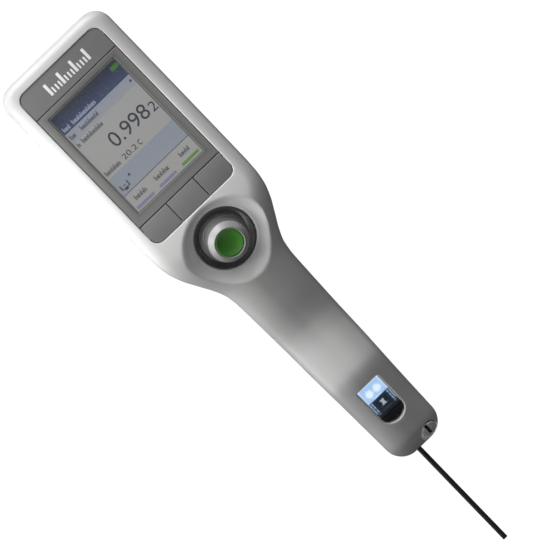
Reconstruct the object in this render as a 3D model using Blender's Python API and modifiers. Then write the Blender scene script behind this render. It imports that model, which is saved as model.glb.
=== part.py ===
"""Handheld digital density meter with a screen head, a thumb pump button and a lit measuring cell.

The meter lies on its back, screen up. +X is its right side, +Y points to the end of the head and
+Z is the screen's normal. The origin is under the middle of its whole length, on the table.
Distances called s run from the end of the head towards the tip. Units are metres.
"""

import bisect
import math

import bmesh
import bpy
from mathutils import Vector

GAP = 0.0003

# Body: distances s from the head end, with a value at each.
BODY_LENGTH = 0.2615
TOTAL_LENGTH = 0.3215
HALF_WIDTH = (
    (0.000, 0.0338), (0.100, 0.0335), (0.110, 0.0332), (0.117, 0.0322), (0.124, 0.0298),
    (0.132, 0.0255), (0.139, 0.0216), (0.145, 0.0192), (0.152, 0.0182), (0.165, 0.0177),
    (0.184, 0.0171), (0.203, 0.0167), (0.223, 0.0160), (0.262, 0.0150),
)
FRONT = (
    (0.000, 0.0400), (0.104, 0.0400), (0.114, 0.0398), (0.122, 0.0389), (0.130, 0.0367),
    (0.139, 0.0334), (0.150, 0.0297), (0.166, 0.0249), (0.178, 0.0213), (0.183, 0.0205),
    (0.188, 0.0207), (0.194, 0.0217), (0.202, 0.0235), (0.210, 0.0254), (0.2135, 0.0260),
    (0.217, 0.0257), (0.222, 0.0247), (0.262, 0.0160),
)
BACK = (
    (0.000, 0.0020), (0.098, 0.0020), (0.108, 0.0036), (0.118, 0.0075), (0.128, 0.0095),
    (0.142, 0.0093), (0.158, 0.0068), (0.175, 0.0034), (0.192, 0.0012), (0.203, 0.0008),
    (0.224, 0.0008), (0.240, 0.0014), (0.262, 0.0026),
)
PARTING = (
    (0.000, 0.0170), (0.100, 0.0170), (0.125, 0.0185), (0.150, 0.0155), (0.190, 0.0095),
    (0.225, 0.0065), (0.262, 0.0058),
)
WALL = 0.0018
FRONT_WALL = 0.0026
HEAD_CORNER = 0.0095
HEAD_FRONT_ROUND = 0.0055
HEAD_BACK_ROUND = 0.0070
TIP_CORNER = 0.0100
TIP_FRONT_ROUND = 0.0075
TIP_BACK_ROUND = 0.0050
HEAD_EDGE = (0.0070, 0.0055, 0.0065, 0.0070)
GRIP_EDGE_X = 0.9
GRIP_EDGE_Z = (0.0100, 0.0090)
GRIP_STARTS, GRIP_WHOLE = 0.108, 0.150

# Panel: title plate, display window and keys, one above the other.
PANEL_HALF = 0.02625
PANEL_S = (0.0074, 0.1046)
WINDOW_S = (0.0215, 0.0925)
PANEL_Z = (0.0374, 0.0396)
PANEL_TOP_CORNER = 0.0048
PANEL_LOW_CORNER = 0.0046
KEY_DIVIDER = 0.0089
KEY_S = 0.0986
KEY_LOW = 0.0378
LCD_S = (0.0249, 0.0869)
LCD_HALF = 0.02175

# Pump button: a frame tilted towards the tip, its origin on the front surface.
PUMP_S, PUMP_HEIGHT = 0.1258, 0.03645
PUMP_TILT = math.radians(18)
DISH_HALF, DISH_CENTRE_Y = (0.0220, 0.0220), 0.0002
DISH_DEPTH, DISH_BEND, DISH_REACH = 0.0046, 1.7, 1.5
WELL_RADIUS = 0.0154
WELL_HOLE = WELL_RADIUS + 0.00035
ROUND_STEPS = 32
SMALL_STEPS = 20

# Cell window and tip.
CELL_S = (0.2220, 0.2448)
CELL_HALF = 0.00685
CELL_ROUND = 0.0057
TUBE_X = -0.0032
TUBE_Z = 0.0090
TUBE_RADIUS = 0.0013
SCREW_X, SCREW_S = 0.0064, 0.2593
SCREW_TILT = math.radians(58)

# Back: battery bay, case screws and rests.
COVER_HALF = 0.0177
COVER_S = (0.0083, 0.0837)
COVER_SCREW_S = 0.078
TRAY_HALF, TRAY_S, TRAY_Z = 0.0170, (0.009, 0.071), (0.0052, 0.0225)
TRAY_WALL = 0.0012
BATTERY_RADIUS, BATTERY_LENGTH = 0.0071, 0.0505
BATTERY_X, BATTERY_Z = 0.0076, 0.0134
BOSS_RADIUS = 0.0034
HEAD_SCREWS = ((-0.0293, 0.0115), (0.0293, 0.0115), (-0.0293, 0.0975), (0.0293, 0.0975))
GRIP_SCREW = (0.0, 0.1660)


def clear_scene():
    for obj in list(bpy.data.objects):
        bpy.data.objects.remove(obj, do_unlink=True)


def new_collection(name):
    collection = bpy.data.collections.new(name)
    bpy.context.scene.collection.children.link(collection)
    return collection


def finish(name, color, roughness, metallic=0.0, alpha=1.0):
    """A Principled material of one colour."""
    made = bpy.data.materials.new(name)
    made.use_nodes = True
    shader = made.node_tree.nodes["Principled BSDF"]
    shader.inputs["Base Color"].default_value = (*color, 1.0)
    shader.inputs["Roughness"].default_value = roughness
    shader.inputs["Metallic"].default_value = metallic
    shader.inputs["Alpha"].default_value = alpha
    return made


# Places and curves


def along(s):
    """World y at the distance s from the head end."""
    return TOTAL_LENGTH / 2 - s


def smooth(points, s):
    """Value at s of a smooth curve through the (s, value) points that never overshoots them."""
    places = [point[0] for point in points]
    if s <= places[0]:
        return points[0][1]
    if s >= places[-1]:
        return points[-1][1]
    slopes = [(b[1] - a[1]) / (b[0] - a[0]) for a, b in zip(points, points[1:])]
    tangents = [0.0 if a * b <= 0 else 2 * a * b / (a + b) for a, b in zip(slopes, slopes[1:])]
    tangents = [slopes[0], *tangents, slopes[-1]]
    i = bisect.bisect_right(places, s) - 1
    step = places[i + 1] - places[i]
    t = (s - places[i]) / step
    rise = points[i + 1][1] - points[i][1]
    ease = t * t * (3 - 2 * t)
    return (
        points[i][1]
        + rise * ease
        + step * t * (1 - t) * ((1 - t) * tangents[i] - t * tangents[i + 1])
    )


def end_drop(distance, radius):
    """How far a rounded end has fallen away at a distance from the end."""
    if distance >= radius:
        return 0.0
    return radius - math.sqrt(max(0.0, radius**2 - (radius - distance) ** 2))


def blend(s, start, stop):
    t = min(1.0, max(0.0, (s - start) / (stop - start)))
    return t * t * (3 - 2 * t)


def body_shape(s, wall=0.0, front_wall=0.0):
    """Half width, top, bottom and corner radii of the cross-section, moved in by the walls."""
    head, tip = s - wall, BODY_LENGTH - wall - s
    half = smooth(HALF_WIDTH, s) - wall
    half -= end_drop(head, HEAD_CORNER - wall) + end_drop(tip, TIP_CORNER - wall)
    top = smooth(FRONT, s) - front_wall
    top -= end_drop(head, HEAD_FRONT_ROUND - wall) + end_drop(tip, TIP_FRONT_ROUND - wall)
    low = smooth(BACK, s) + wall
    low += end_drop(head, HEAD_BACK_ROUND - wall) + end_drop(tip, TIP_BACK_ROUND - wall)
    grip = blend(s, GRIP_STARTS, GRIP_WHOLE)
    front_x, front_z, back_x, back_z = (radius - wall for radius in HEAD_EDGE)
    front_x += grip * (GRIP_EDGE_X * half - front_x)
    back_x += grip * (GRIP_EDGE_X * half - back_x)
    front_z += grip * (GRIP_EDGE_Z[0] - wall - front_z)
    back_z += grip * (GRIP_EDGE_Z[1] - wall - back_z)
    fit = min(1.0, 0.96 * (top - low) / (front_z + back_z))
    return half, top, low, front_x, front_z * fit, back_x, back_z * fit


def front_height(x, s):
    """World z of the front surface."""
    half, top, _, edge_x, edge_z, _, _ = body_shape(s)
    t = max(0.0, abs(x) - (half - edge_x)) / edge_x
    return top - edge_z * (1 - math.sqrt(1 - t * t))


def quarter(steps):
    return [math.pi / 2 * i / steps for i in range(steps + 1)]


def body_ring(s, wall=0.0, front_wall=0.0, front_steps=6, back_steps=5):
    """Closed ring of points round the cross-section, from the middle of the front."""
    half, top, low, front_x, front_z, back_x, back_z = body_shape(s, wall, front_wall)
    right = [(0.0, top), ((half - front_x) / 2, top)]
    for turn in quarter(front_steps):
        x = half - front_x + front_x * math.sin(turn)
        right.append((x, top - front_z + front_z * math.cos(turn)))
    for turn in quarter(back_steps):
        x = half - back_x + back_x * math.cos(turn)
        right.append((x, low + back_z - back_z * math.sin(turn)))
    right += [((half - back_x) / 2, low), (0.0, low)]
    left = [(-x, z) for x, z in right[-2:0:-1]]
    return [Vector((x, along(s), z)) for x, z in right + left]


def body_stations(wall, end_steps, step_in_neck, step_in_grip):
    """Distances s of the rings, close together where the body curves."""
    stops = [wall + (HEAD_CORNER - wall) * (1 - math.cos(turn)) for turn in quarter(end_steps)]
    stops += [0.020, 0.060, 0.100]
    stops += spread(0.105, 0.160, step_in_neck) + spread(0.160, 0.246, step_in_grip)
    tip = BODY_LENGTH - wall
    stops += [tip - (TIP_CORNER - wall) * (1 - math.cos(turn)) for turn in quarter(end_steps)[::-1]]
    return stops


def spread(start, stop, step):
    count = round((stop - start) / step)
    return [start + (stop - start) * i / count for i in range(count)]


def rounded_rectangle(x0, x1, y0, y1, low_left, low_right, top_right, top_left, steps=5):
    """Outline from the lower left corner, anticlockwise, with a radius at each corner."""
    corners = (
        (x0 + low_left, y0 + low_left, low_left, 180),
        (x1 - low_right, y0 + low_right, low_right, 270),
        (x1 - top_right, y1 - top_right, top_right, 0),
        (x0 + top_left, y1 - top_left, top_left, 90),
    )
    outline = []
    for x, y, radius, first in corners:
        for i in range(steps + 1 if radius else 1):
            turn = math.radians(first + 90 * i / steps)
            outline.append((x + radius * math.cos(turn), y + radius * math.sin(turn)))
    return outline


def rectangle(half, s_range, radius, grow=0.0, steps=5):
    """Outline centred on the middle line, between two distances from the head end."""
    low, high = along(s_range[1]) - grow, along(s_range[0]) + grow
    corner = radius + grow if radius else 0.0
    return rounded_rectangle(-half - grow, half + grow, low, high, *[corner] * 4, steps)


def circle(x, y, radius, steps=20):
    turns = [math.tau * i / steps for i in range(steps)]
    return [(x + radius * math.cos(turn), y + radius * math.sin(turn)) for turn in turns]


def smooth_path(points, per_span):
    """Points on a smooth curve through the given ones."""
    ends = [2 * points[0] - points[1], *points, 2 * points[-1] - points[-2]]
    path = []
    for a, b, c, d in zip(ends, ends[1:], ends[2:], ends[3:]):
        for i in range(per_span):
            t = i / per_span
            square = (2 * a - 5 * b + 4 * c - d) * t**2
            cube = (3 * b - 3 * c + d - a) * t**3
            path.append(0.5 * (2 * b + (c - a) * t + square + cube))
    return [*path, points[-1]]


# Makers


def place(name, mesh, look, parent=None, cutter=False):
    obj = bpy.data.objects.new(name, mesh)
    if cutter:
        CUTTERS.objects.link(obj)
        obj.hide_render = True
        obj.display_type = "WIRE"
    else:
        PARTS.objects.link(obj)
        obj.data.materials.append(look)
    obj.parent = parent
    return obj


def frame_at(name, place_at, tilt):
    """An empty whose z axis leans from the vertical towards the tip."""
    empty = bpy.data.objects.new(name, None)
    PARTS.objects.link(empty)
    empty.location = place_at
    empty.rotation_euler = (tilt, 0.0, 0.0)
    empty.empty_display_size = 0.01
    return empty


def mesh_from(name, bm, smooth_angle=None):
    bmesh.ops.recalc_face_normals(bm, faces=bm.faces)
    mesh = bpy.data.meshes.new(name)
    bm.to_mesh(mesh)
    bm.free()
    if smooth_angle:
        mesh.shade_smooth()
        mesh.set_sharp_from_angle(angle=smooth_angle)
    return mesh


def loft(name, rings, look, cutter=False):
    """Solid through rings of the same number of points."""
    bm = bmesh.new()
    rows = [[bm.verts.new(point) for point in ring] for ring in rings]
    for row, following in zip(rows, rows[1:]):
        for i in range(len(row)):
            j = (i + 1) % len(row)
            bm.faces.new((row[i], row[j], following[j], following[i]))
    bm.faces.new(rows[0])
    bm.faces.new(rows[-1])
    return place(name, mesh_from(name, bm, math.radians(35)), look, cutter=cutter)


def box(name, low, high, look=None, parent=None, cutter=False):
    bm = bmesh.new()
    bmesh.ops.create_cube(bm, size=1.0)
    middle = [(a + b) / 2 for a, b in zip(low, high)]
    bmesh.ops.scale(bm, vec=[b - a for a, b in zip(low, high)], verts=bm.verts)
    bmesh.ops.translate(bm, vec=middle, verts=bm.verts)
    return place(name, mesh_from(name, bm), look, parent, cutter)


def cylinder(name, radius, start, stop, look=None, parent=None, cutter=False, steps=SMALL_STEPS):
    """Round bar between two points."""
    start, stop = Vector(start), Vector(stop)
    bm = bmesh.new()
    depth = (stop - start).length
    bmesh.ops.create_cone(
        bm, cap_ends=True, segments=steps, radius1=radius, radius2=radius, depth=depth
    )
    turn = Vector((0, 0, 1)).rotation_difference(stop - start).to_matrix()
    bmesh.ops.rotate(bm, cent=(0, 0, 0), matrix=turn, verts=bm.verts)
    bmesh.ops.translate(bm, vec=(start + stop) / 2, verts=bm.verts)
    return place(name, mesh_from(name, bm, math.radians(40)), look, parent, cutter)


def turned(name, profile, look=None, parent=None, cutter=False, steps=SMALL_STEPS):
    """Solid turned about z from (radius, height) points that run down the outer side."""
    mesh = bpy.data.meshes.new(name)
    links = [(i, i + 1) for i in range(len(profile) - 1)]
    if profile[0][0] > 0:
        links.append((len(profile) - 1, 0))
    mesh.from_pydata([(radius, 0.0, height) for radius, height in profile], links, [])
    obj = place(name, mesh, look, parent, cutter)
    screw = obj.modifiers.new("turn", "SCREW")
    screw.steps = screw.render_steps = steps
    screw.use_merge_vertices = True
    screw.merge_threshold = 0.000001
    screw.use_smooth_shade = False
    return obj


def plate(name, outlines, low, high, look=None, parent=None, cutter=False, edge=0.0):
    """Flat piece between two heights: the first outline is its edge, any others are holes."""
    curve = bpy.data.curves.new(name, "CURVE")
    curve.dimensions = "2D"
    curve.fill_mode = "BOTH"
    curve.extrude = (high - low) / 2
    for outline in outlines:
        spline = curve.splines.new("POLY")
        spline.points.add(len(outline) - 1)
        for point, (x, y) in zip(spline.points, outline):
            point.co = (x, y, 0.0, 1.0)
        spline.use_cyclic_u = True
    drawn = bpy.data.objects.new(name, curve)
    bpy.context.scene.collection.objects.link(drawn)
    graph = bpy.context.evaluated_depsgraph_get()
    raw = bpy.data.meshes.new_from_object(drawn.evaluated_get(graph))
    bm = bmesh.new()
    bm.from_mesh(raw)
    bmesh.ops.remove_doubles(bm, verts=bm.verts, dist=0.000001)
    bmesh.ops.translate(bm, vec=(0, 0, (low + high) / 2), verts=bm.verts)
    bpy.data.objects.remove(drawn)
    bpy.data.curves.remove(curve)
    bpy.data.meshes.remove(raw)
    obj = place(name, mesh_from(name, bm), look, parent, cutter)
    if edge:
        round_edges(obj, edge)
    return obj


def round_edges(obj, width, segments=2):
    bevel = obj.modifiers.new("edges", "BEVEL")
    bevel.width = width
    bevel.segments = segments
    bevel.limit_method = "ANGLE"
    bevel.angle_limit = math.radians(50)


def tube(name, points, radius, look, parent=None):
    curve = bpy.data.curves.new(name, "CURVE")
    curve.dimensions = "3D"
    curve.bevel_depth = radius
    curve.bevel_resolution = 2
    curve.use_fill_caps = True
    spline = curve.splines.new("POLY")
    spline.points.add(len(points) - 1)
    for point, place_at in zip(spline.points, points):
        point.co = (*place_at, 1.0)
    return place(name, curve, look, parent)


def coil_points(radius, start, stop, turns, per_turn):
    """Helix about z between two heights."""
    count = round(turns * per_turn)
    points = []
    for i in range(count + 1):
        turn = math.tau * turns * i / count
        height = start + (stop - start) * i / count
        points.append(Vector((radius * math.cos(turn), radius * math.sin(turn), height)))
    return points


def boolean(target, tool, operation="DIFFERENCE"):
    modifier = target.modifiers.new(operation.lower(), "BOOLEAN")
    modifier.object = tool
    modifier.operation = operation
    modifier.solver = "EXACT"


# Housing


def parting_prism(name, side):
    """Block on one side of the parting line, side -1 below it and +1 above it."""
    stops = [-0.005, *spread(0.0, BODY_LENGTH, 0.006), BODY_LENGTH + 0.005]
    edge = [(along(s), smooth(PARTING, s) - side * GAP / 2) for s in stops]
    far = 0.060 if side > 0 else -0.020
    outline = [*edge, (edge[-1][0], far), (edge[0][0], far)]
    rings = [[Vector((x, y, z)) for y, z in outline] for x in (-0.05, 0.05)]
    return loft(name, rings, None, cutter=True)


def dish_rim(turn):
    """Distance from the well's axis to the oval rim of the dish."""
    across, tipward = DISH_HALF
    x, y = math.cos(turn) / across, math.sin(turn) / tipward
    centre = DISH_CENTRE_Y / tipward
    square = x * x + y * y
    middle = y * centre
    return (middle + math.sqrt(middle**2 - square * (centre**2 - 1))) / square


def dish(name, grow, foot, pump):
    """Oval dish round the well's hole, made larger by grow all round, with its shaft down to foot."""
    turns = [math.tau * i / (ROUND_STEPS + 8) for i in range(ROUND_STEPS + 8)]
    steps = [(DISH_REACH, 0.020), (DISH_REACH, DISH_DEPTH * DISH_BEND * (DISH_REACH - 1))]
    for i in range(8):
        out = 1 - i / 7
        steps.append((out, -DISH_DEPTH * (1 - out**DISH_BEND) - grow))
    steps.append((0.0, foot))
    rings = []
    for out, height in steps:
        radii = [WELL_HOLE + grow + out * (dish_rim(turn) - WELL_HOLE) for turn in turns]
        rings.append(
            [Vector((r * math.cos(t), r * math.sin(t), height)) for r, t in zip(radii, turns)]
        )
    made = loft(name, rings, None, cutter=True)
    made.parent = pump
    return made


def cell_outline(grow):
    """Cell window: square at the head side, half an ellipse at the tip side."""
    half = CELL_HALF + grow
    reach = (CELL_S[1] - CELL_S[0]) / 2
    top, low = reach + grow, -reach + CELL_ROUND
    outline = [(half, low), (half, top), (-half, top), (-half, low)]
    for i in range(1, 14):
        turn = math.pi * (1 + i / 14)
        outline.append((half * math.cos(turn), low + (CELL_ROUND + grow) * math.sin(turn)))
    return outline


def housing(pump, cell, fixing):
    """Front and rear shells: one lofted body, hollowed, split along the parting line and opened."""
    outer = [body_ring(s) for s in body_stations(0.0, 5, 0.0055, 0.0108)]
    inner_stops = body_stations(WALL, 3, 0.011, 0.0215)
    inner = [body_ring(s, WALL, FRONT_WALL, 4, 3) for s in inner_stops]
    cavity = loft("cavity", inner, None, cutter=True)
    boolean(cavity, dish("bowl", WALL, -0.0090, pump))
    for i, (x, s) in enumerate((*HEAD_SCREWS, GRIP_SCREW)):
        post = cylinder(
            f"post_{i}", BOSS_RADIUS, (x, along(s), -0.01), (x, along(s), 0.05), cutter=True, steps=16
        )
        boolean(cavity, post)
    lug = cylinder(
        "tip_lug", 0.0056, (0, 0, -0.0057), (0, 0, 0.004), parent=fixing, cutter=True, steps=20
    )
    boolean(cavity, lug)

    shells = []
    for name, side in (("front_shell", -1), ("rear_shell", 1)):
        shell = loft(name, outer, SHELL)
        boolean(shell, cavity)
        boolean(shell, parting_prism(f"{name}_split", side))
        shells.append(shell)
    front, rear = shells
    open_front(front, pump, cell, fixing)
    open_rear(rear)


def open_front(front, pump, cell, fixing):
    low, high = along(PANEL_S[1]) - GAP, along(PANEL_S[0]) + GAP
    half = PANEL_HALF + GAP
    top, bottom = PANEL_TOP_CORNER + GAP, PANEL_LOW_CORNER + GAP
    outline = rounded_rectangle(-half, half, low, high, bottom, bottom, top, top)
    boolean(front, plate("panel_opening", [outline], 0.030, 0.045, cutter=True))
    boolean(front, dish("dish", 0.0, -0.0300, pump))
    boolean(front, plate("cell_opening", [cell_outline(GAP)], -0.006, 0.004, parent=cell, cutter=True))
    seat = [(0, 0.006), (0.0051, 0.006), (0.0051, -0.0030), (0.0018, -0.0030), (0.0018, -0.0085)]
    boolean(front, turned("screw_seat", [*seat, (0, -0.0085)], parent=fixing, cutter=True))
    exit_at = (TUBE_X, along(BODY_LENGTH) + 0.005, TUBE_Z)
    outside = (TUBE_X, along(BODY_LENGTH) - 0.004, TUBE_Z)
    boolean(front, cylinder("tube_exit", TUBE_RADIUS + GAP, exit_at, outside, cutter=True, steps=16))
    for i, (x, s) in enumerate((*HEAD_SCREWS, GRIP_SCREW)):
        reach = smooth(BACK, s) + 0.0160
        pilot = cylinder(
            f"pilot_{i}", 0.0014, (x, along(s), -0.005), (x, along(s), reach), cutter=True, steps=12
        )
        boolean(front, pilot)


def open_rear(rear):
    opening = rectangle(COVER_HALF, COVER_S, 0.003, GAP)
    boolean(rear, plate("bay_opening", [opening], -0.002, 0.006, cutter=True))
    for i, (x, s) in enumerate((*HEAD_SCREWS, GRIP_SCREW)):
        seat = smooth(BACK, s) + 0.0028
        profile = [
            (0, seat + 0.03), (0.0014, seat + 0.03), (0.0014, seat), (0.0029, seat), (0.0029, -0.004),
            (0, -0.004),
        ]
        cutter = turned(f"case_screw_seat_{i}", profile, cutter=True, steps=16)
        cutter.location = (x, along(s), 0)
        boolean(rear, cutter)
    for name, outline, depth in (*rest_outlines(GAP), heel_outline(GAP)):
        boolean(rear, plate(f"{name}_seat", [outline], -0.003, depth, cutter=True))


def rest_outlines(grow=0.0):
    """Two rubber strips beside the battery cover: name, outline and depth of the seat."""
    low, high = along(0.090), along(0.022)
    made = []
    for name, x in (("rest_strip_left", -0.0232), ("rest_strip_right", 0.0232)):
        half = 0.0022 + grow
        outline = rounded_rectangle(x - half, x + half, low - grow, high + grow, *[half] * 4, 4)
        made.append((name, outline, 0.0027))
    return made


def heel_outline(grow=0.0):
    half = 0.0065 + grow
    low, high = along(0.226) - grow, along(0.202) + grow
    return "heel_pad", rounded_rectangle(-half, half, low, high, *[0.004 + grow] * 4, 4), 0.0017


def rests():
    for name, outline, depth in (*rest_outlines(), heel_outline()):
        plate(name, [outline], 0.0, depth - GAP, RUBBER)


def case_screws():
    """Five case screws, heads down in their seats."""
    profile = [
        (0, 0.0118), (0.0011, 0.0118), (0.0011, 0.0017), (0.0025, 0.0017), (0.0025, 0.0003),
        (0.0022, 0.0), (0.0012, 0.0), (0.0010, 0.0009), (0, 0.0009),
    ]
    for i, (x, s) in enumerate((*HEAD_SCREWS, GRIP_SCREW)):
        screw = turned(f"case_screw_{i + 1}", profile, STEEL, steps=14)
        screw.location = (x, along(s), smooth(BACK, s) + 0.0008)


# Panel and screen


def panel():
    half, (top_s, low_s), (high_w, low_w) = PANEL_HALF, PANEL_S, WINDOW_S
    corner = PANEL_TOP_CORNER
    title = rounded_rectangle(
        -half, half, along(high_w) + GAP / 2, along(top_s), 0, 0, corner, corner
    )
    plate("title_plate", [title], *PANEL_Z, PANEL_GREY, edge=0.00022)
    window = rounded_rectangle(
        -half, half, along(low_w) + GAP / 2, along(high_w) - GAP / 2, 0, 0, 0, 0
    )
    plate("display_window", [window], *PANEL_Z, GLASS_GREY, edge=0.00022)
    edges = (
        ("left", -half, -KEY_DIVIDER - GAP / 2, PANEL_LOW_CORNER, 0),
        ("middle", -KEY_DIVIDER + GAP / 2, KEY_DIVIDER - GAP / 2, 0, 0),
        ("right", KEY_DIVIDER + GAP / 2, half, 0, PANEL_LOW_CORNER),
    )
    for side, x0, x1, low_left, low_right in edges:
        outline = rounded_rectangle(
            x0, x1, along(low_s), along(low_w) - GAP / 2, low_left, low_right, 0, 0
        )
        cap = plate(f"soft_key_{side}", [outline], KEY_LOW, PANEL_Z[1], PANEL_GREY, edge=0.00022)
        x = (x0 + x1) / 2
        stem = box(
            f"stem_{side}",
            (x - 0.003, along(KEY_S) - 0.0018, 0.0349),
            (x + 0.003, along(KEY_S) + 0.0018, KEY_LOW + 0.0006),
            cutter=True,
        )
        boolean(cap, stem, "UNION")
        box(
            f"key_switch_{side}",
            (x - 0.003, along(KEY_S) - 0.003, 0.0329),
            (x + 0.003, along(KEY_S) + 0.003, 0.0342),
            BLACK,
        )


def panel_carrier():
    outline = rectangle(0.028, (0.0050, 0.1038), 0.004)
    view = rectangle(0.0236, (0.0229, 0.0893), 0.001, steps=2)
    holes = []
    for x in (-(PANEL_HALF + KEY_DIVIDER) / 2, 0.0, (PANEL_HALF + KEY_DIVIDER) / 2):
        y = along(KEY_S)
        holes.append(rounded_rectangle(x - 0.004, x + 0.004, y - 0.0025, y + 0.0025, 0, 0, 0, 0))
    carrier = plate("panel_carrier", [outline, view, *holes], 0.0359, 0.0371, DARK_GREY)
    for i, (x, s) in enumerate(HEAD_SCREWS):
        post = cylinder(
            f"carrier_notch_{i}", BOSS_RADIUS + GAP, (x, along(s), 0.03), (x, along(s), 0.04),
            cutter=True, steps=16,
        )
        boolean(carrier, post)


def screen():
    border = 0.0005
    opening = rectangle(LCD_HALF + 2 * border, (LCD_S[0] - border, LCD_S[1] + border), 0)
    frame = rectangle(0.0248, (0.0215, 0.0907), 0.001, steps=2)
    plate("lcd_frame", [frame, opening], 0.0330, 0.0356, STEEL)
    sheet = rectangle(LCD_HALF + border, (LCD_S[0] - border / 2, LCD_S[1] + border / 2), 0)
    plate("lcd_glass", [sheet], 0.0345, 0.0354, LCD)
    plate("backlight", [sheet], 0.0331, 0.0342, WHITE)
    board = rectangle(0.0255, (0.0070, 0.1040), 0.002, steps=3)
    plate("main_board", [board], 0.0310, 0.0326, BOARD)


# Batteries


def battery_bay():
    (s0, s1), (z0, z1) = TRAY_S, TRAY_Z
    tray = box(
        "battery_tray", (-TRAY_HALF, along(s1), z0), (TRAY_HALF, along(s0), z1), BLACK
    )
    lug = box(
        "tray_lug", (-0.006, along(0.0835), z0), (0.006, along(s1) + 0.0005, 0.012), cutter=True
    )
    boolean(tray, lug, "UNION")
    inside = TRAY_HALF - TRAY_WALL
    hollow = box(
        "tray_hollow",
        (-inside, along(s1) + TRAY_WALL, z0 - 0.002),
        (inside, along(s0) - TRAY_WALL, z1 - TRAY_WALL),
        cutter=True,
    )
    boolean(tray, hollow)
    middle = along(COVER_SCREW_S)
    boolean(tray, cylinder("lug_hole", 0.0023, (0, middle, 0), (0, middle, 0.0108), cutter=True))
    batteries()
    battery_contacts(inside)


def batteries():
    """Two cells side by side, pointing opposite ways."""
    body, nub = BATTERY_LENGTH - 0.001, 0.0027
    profile = [
        (0, BATTERY_LENGTH), (nub, BATTERY_LENGTH), (nub, body), (BATTERY_RADIUS - 0.0006, body),
        (BATTERY_RADIUS, body - 0.0006), (BATTERY_RADIUS, 0.0006),
        (BATTERY_RADIUS - 0.0006, 0), (0, 0),
    ]
    for side, x, start, tilt in (("left", -1, 0.0182, 90), ("right", 1, 0.0618, -90)):
        cell = turned(f"battery_{side}", profile, BATTERY, steps=20)
        cell.location = (x * BATTERY_X, along(start), BATTERY_Z)
        cell.rotation_euler = (math.radians(tilt), 0, 0)


def battery_contacts(inside):
    low, high = 0.0080, 0.0190
    for name, x0, x1, s in (
        ("bridge_plate", -inside + 0.001, inside - 0.001, 0.0106),
        ("terminal_plate_left", -inside + 0.001, -0.0022, 0.0690),
        ("terminal_plate_right", 0.0022, inside - 0.001, 0.0690),
    ):
        box(name, (x0, along(s + 0.0005), low), (x1, along(s), high), STEEL)
    for side, x, start, stop in (("left", -1, 0.0116, 0.0176), ("right", 1, 0.0624, 0.0684)):
        points = coil_points(0.0030, along(start), along(stop), 2.5, 8)
        points = [Vector((x * BATTERY_X + p.x, p.z, BATTERY_Z + p.y)) for p in points]
        tube(f"contact_spring_{side}", points, 0.00035, STEEL)


def battery_cover():
    middle = along(COVER_SCREW_S)
    hole = circle(0, middle, 0.0045)
    outline = rectangle(COVER_HALF, COVER_S, 0.003)
    plate("battery_cover", [outline, hole], 0.0020, 0.0038, SHELL)
    ring = rectangle(0.0169, (0.0091, 0.0709), 0.002, steps=3)
    hollow = rectangle(0.0160, (0.0100, 0.0700), 0.0012, steps=3)
    plate("cover_seal", [ring, hollow], 0.0041, 0.0049, RUBBER)
    profile = [
        (0, 0.0095), (0.0020, 0.0095), (0.0020, 0.0040), (0.0042, 0.0040), (0.0042, 0.0024),
        (0.0040, 0.0022), (0, 0.0022),
    ]
    screw = turned("cover_screw", profile, STEEL)
    screw.location = (0, middle, 0)
    slot = box(
        "cover_slot", (-0.0006, middle - 0.006, 0), (0.0006, middle + 0.006, 0.0031), cutter=True
    )
    boolean(screw, slot)


# Pump


def pump_parts(pump):
    """Everything turned about the pump's axis, whose frame is the given empty."""
    wall, floor, hole = 0.0008, -0.0160, 0.0079
    well = [
        (WELL_RADIUS, -0.0050), (WELL_RADIUS, floor - 0.0012), (hole, floor - 0.0012), (hole, floor),
        (WELL_RADIUS - wall, floor), (WELL_RADIUS - wall, -0.0050),
    ]
    turned("button_well", well, BLACK, pump, steps=ROUND_STEPS)
    button = [
        (0, 0.0030), (0.0072, 0.0030), (0.0072, 0.0054), (0.0075, 0.0057), (0.0078, 0.0056),
        (0.0102, 0.0026), (0.01045, 0.0018), (0.01055, 0.0008), (0.0120, -0.0094), (0.0110, -0.0094),
        (0.0093, 0.0006), (0, 0.0006),
    ]
    turned("pump_button", button, BUTTON, pump, steps=ROUND_STEPS)
    cap = [
        (0, 0.0043), (0.0030, 0.0045), (0.0052, 0.0050), (0.0064, 0.0054), (0.0069, 0.0052),
        (0.0069, 0.0033), (0, 0.0033),
    ]
    turned("button_cap", cap, GREEN, pump, steps=ROUND_STEPS)
    piston, groove = 0.0062, 0.0050
    rod = [
        (0, 0.0003), (0.0025, 0.0003), (0.0025, -0.0090), (piston, -0.0090), (piston, -0.0102),
        (groove, -0.0102), (groove, -0.0120), (piston, -0.0120), (piston, -0.0132), (0, -0.0132),
    ]
    turned("piston_rod", rod, WHITE, pump)
    seal = [
        (0.0058 + 0.00055 * math.cos(turn), -0.0111 + 0.00055 * math.sin(turn))
        for turn in (math.tau * -i / 8 for i in range(8))
    ]
    turned("piston_seal", seal, RUBBER, pump)
    cylinder_profile = [
        (0, -0.0205), (0.0064, -0.0205), (0.0064, -0.0060), (0.0076, -0.0060), (0.0076, -0.0175),
        (0.0095, -0.0175), (0.0095, -0.0190), (0.0076, -0.0190), (0.0076, -0.0220), (0, -0.0220),
    ]
    barrel = turned("pump_cylinder", cylinder_profile, CLEAR, pump)
    nipple = cylinder(
        "nipple", 0.0011, (0.0068, 0, -0.0204), (0.0118, 0, -0.0204), parent=pump, cutter=True, steps=12
    )
    boolean(barrel, nipple, "UNION")
    points = coil_points(0.00845, floor + 0.0008, -0.0002, 4.5, 12)
    tube("return_spring", points, 0.0004, STEEL, pump)


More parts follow.
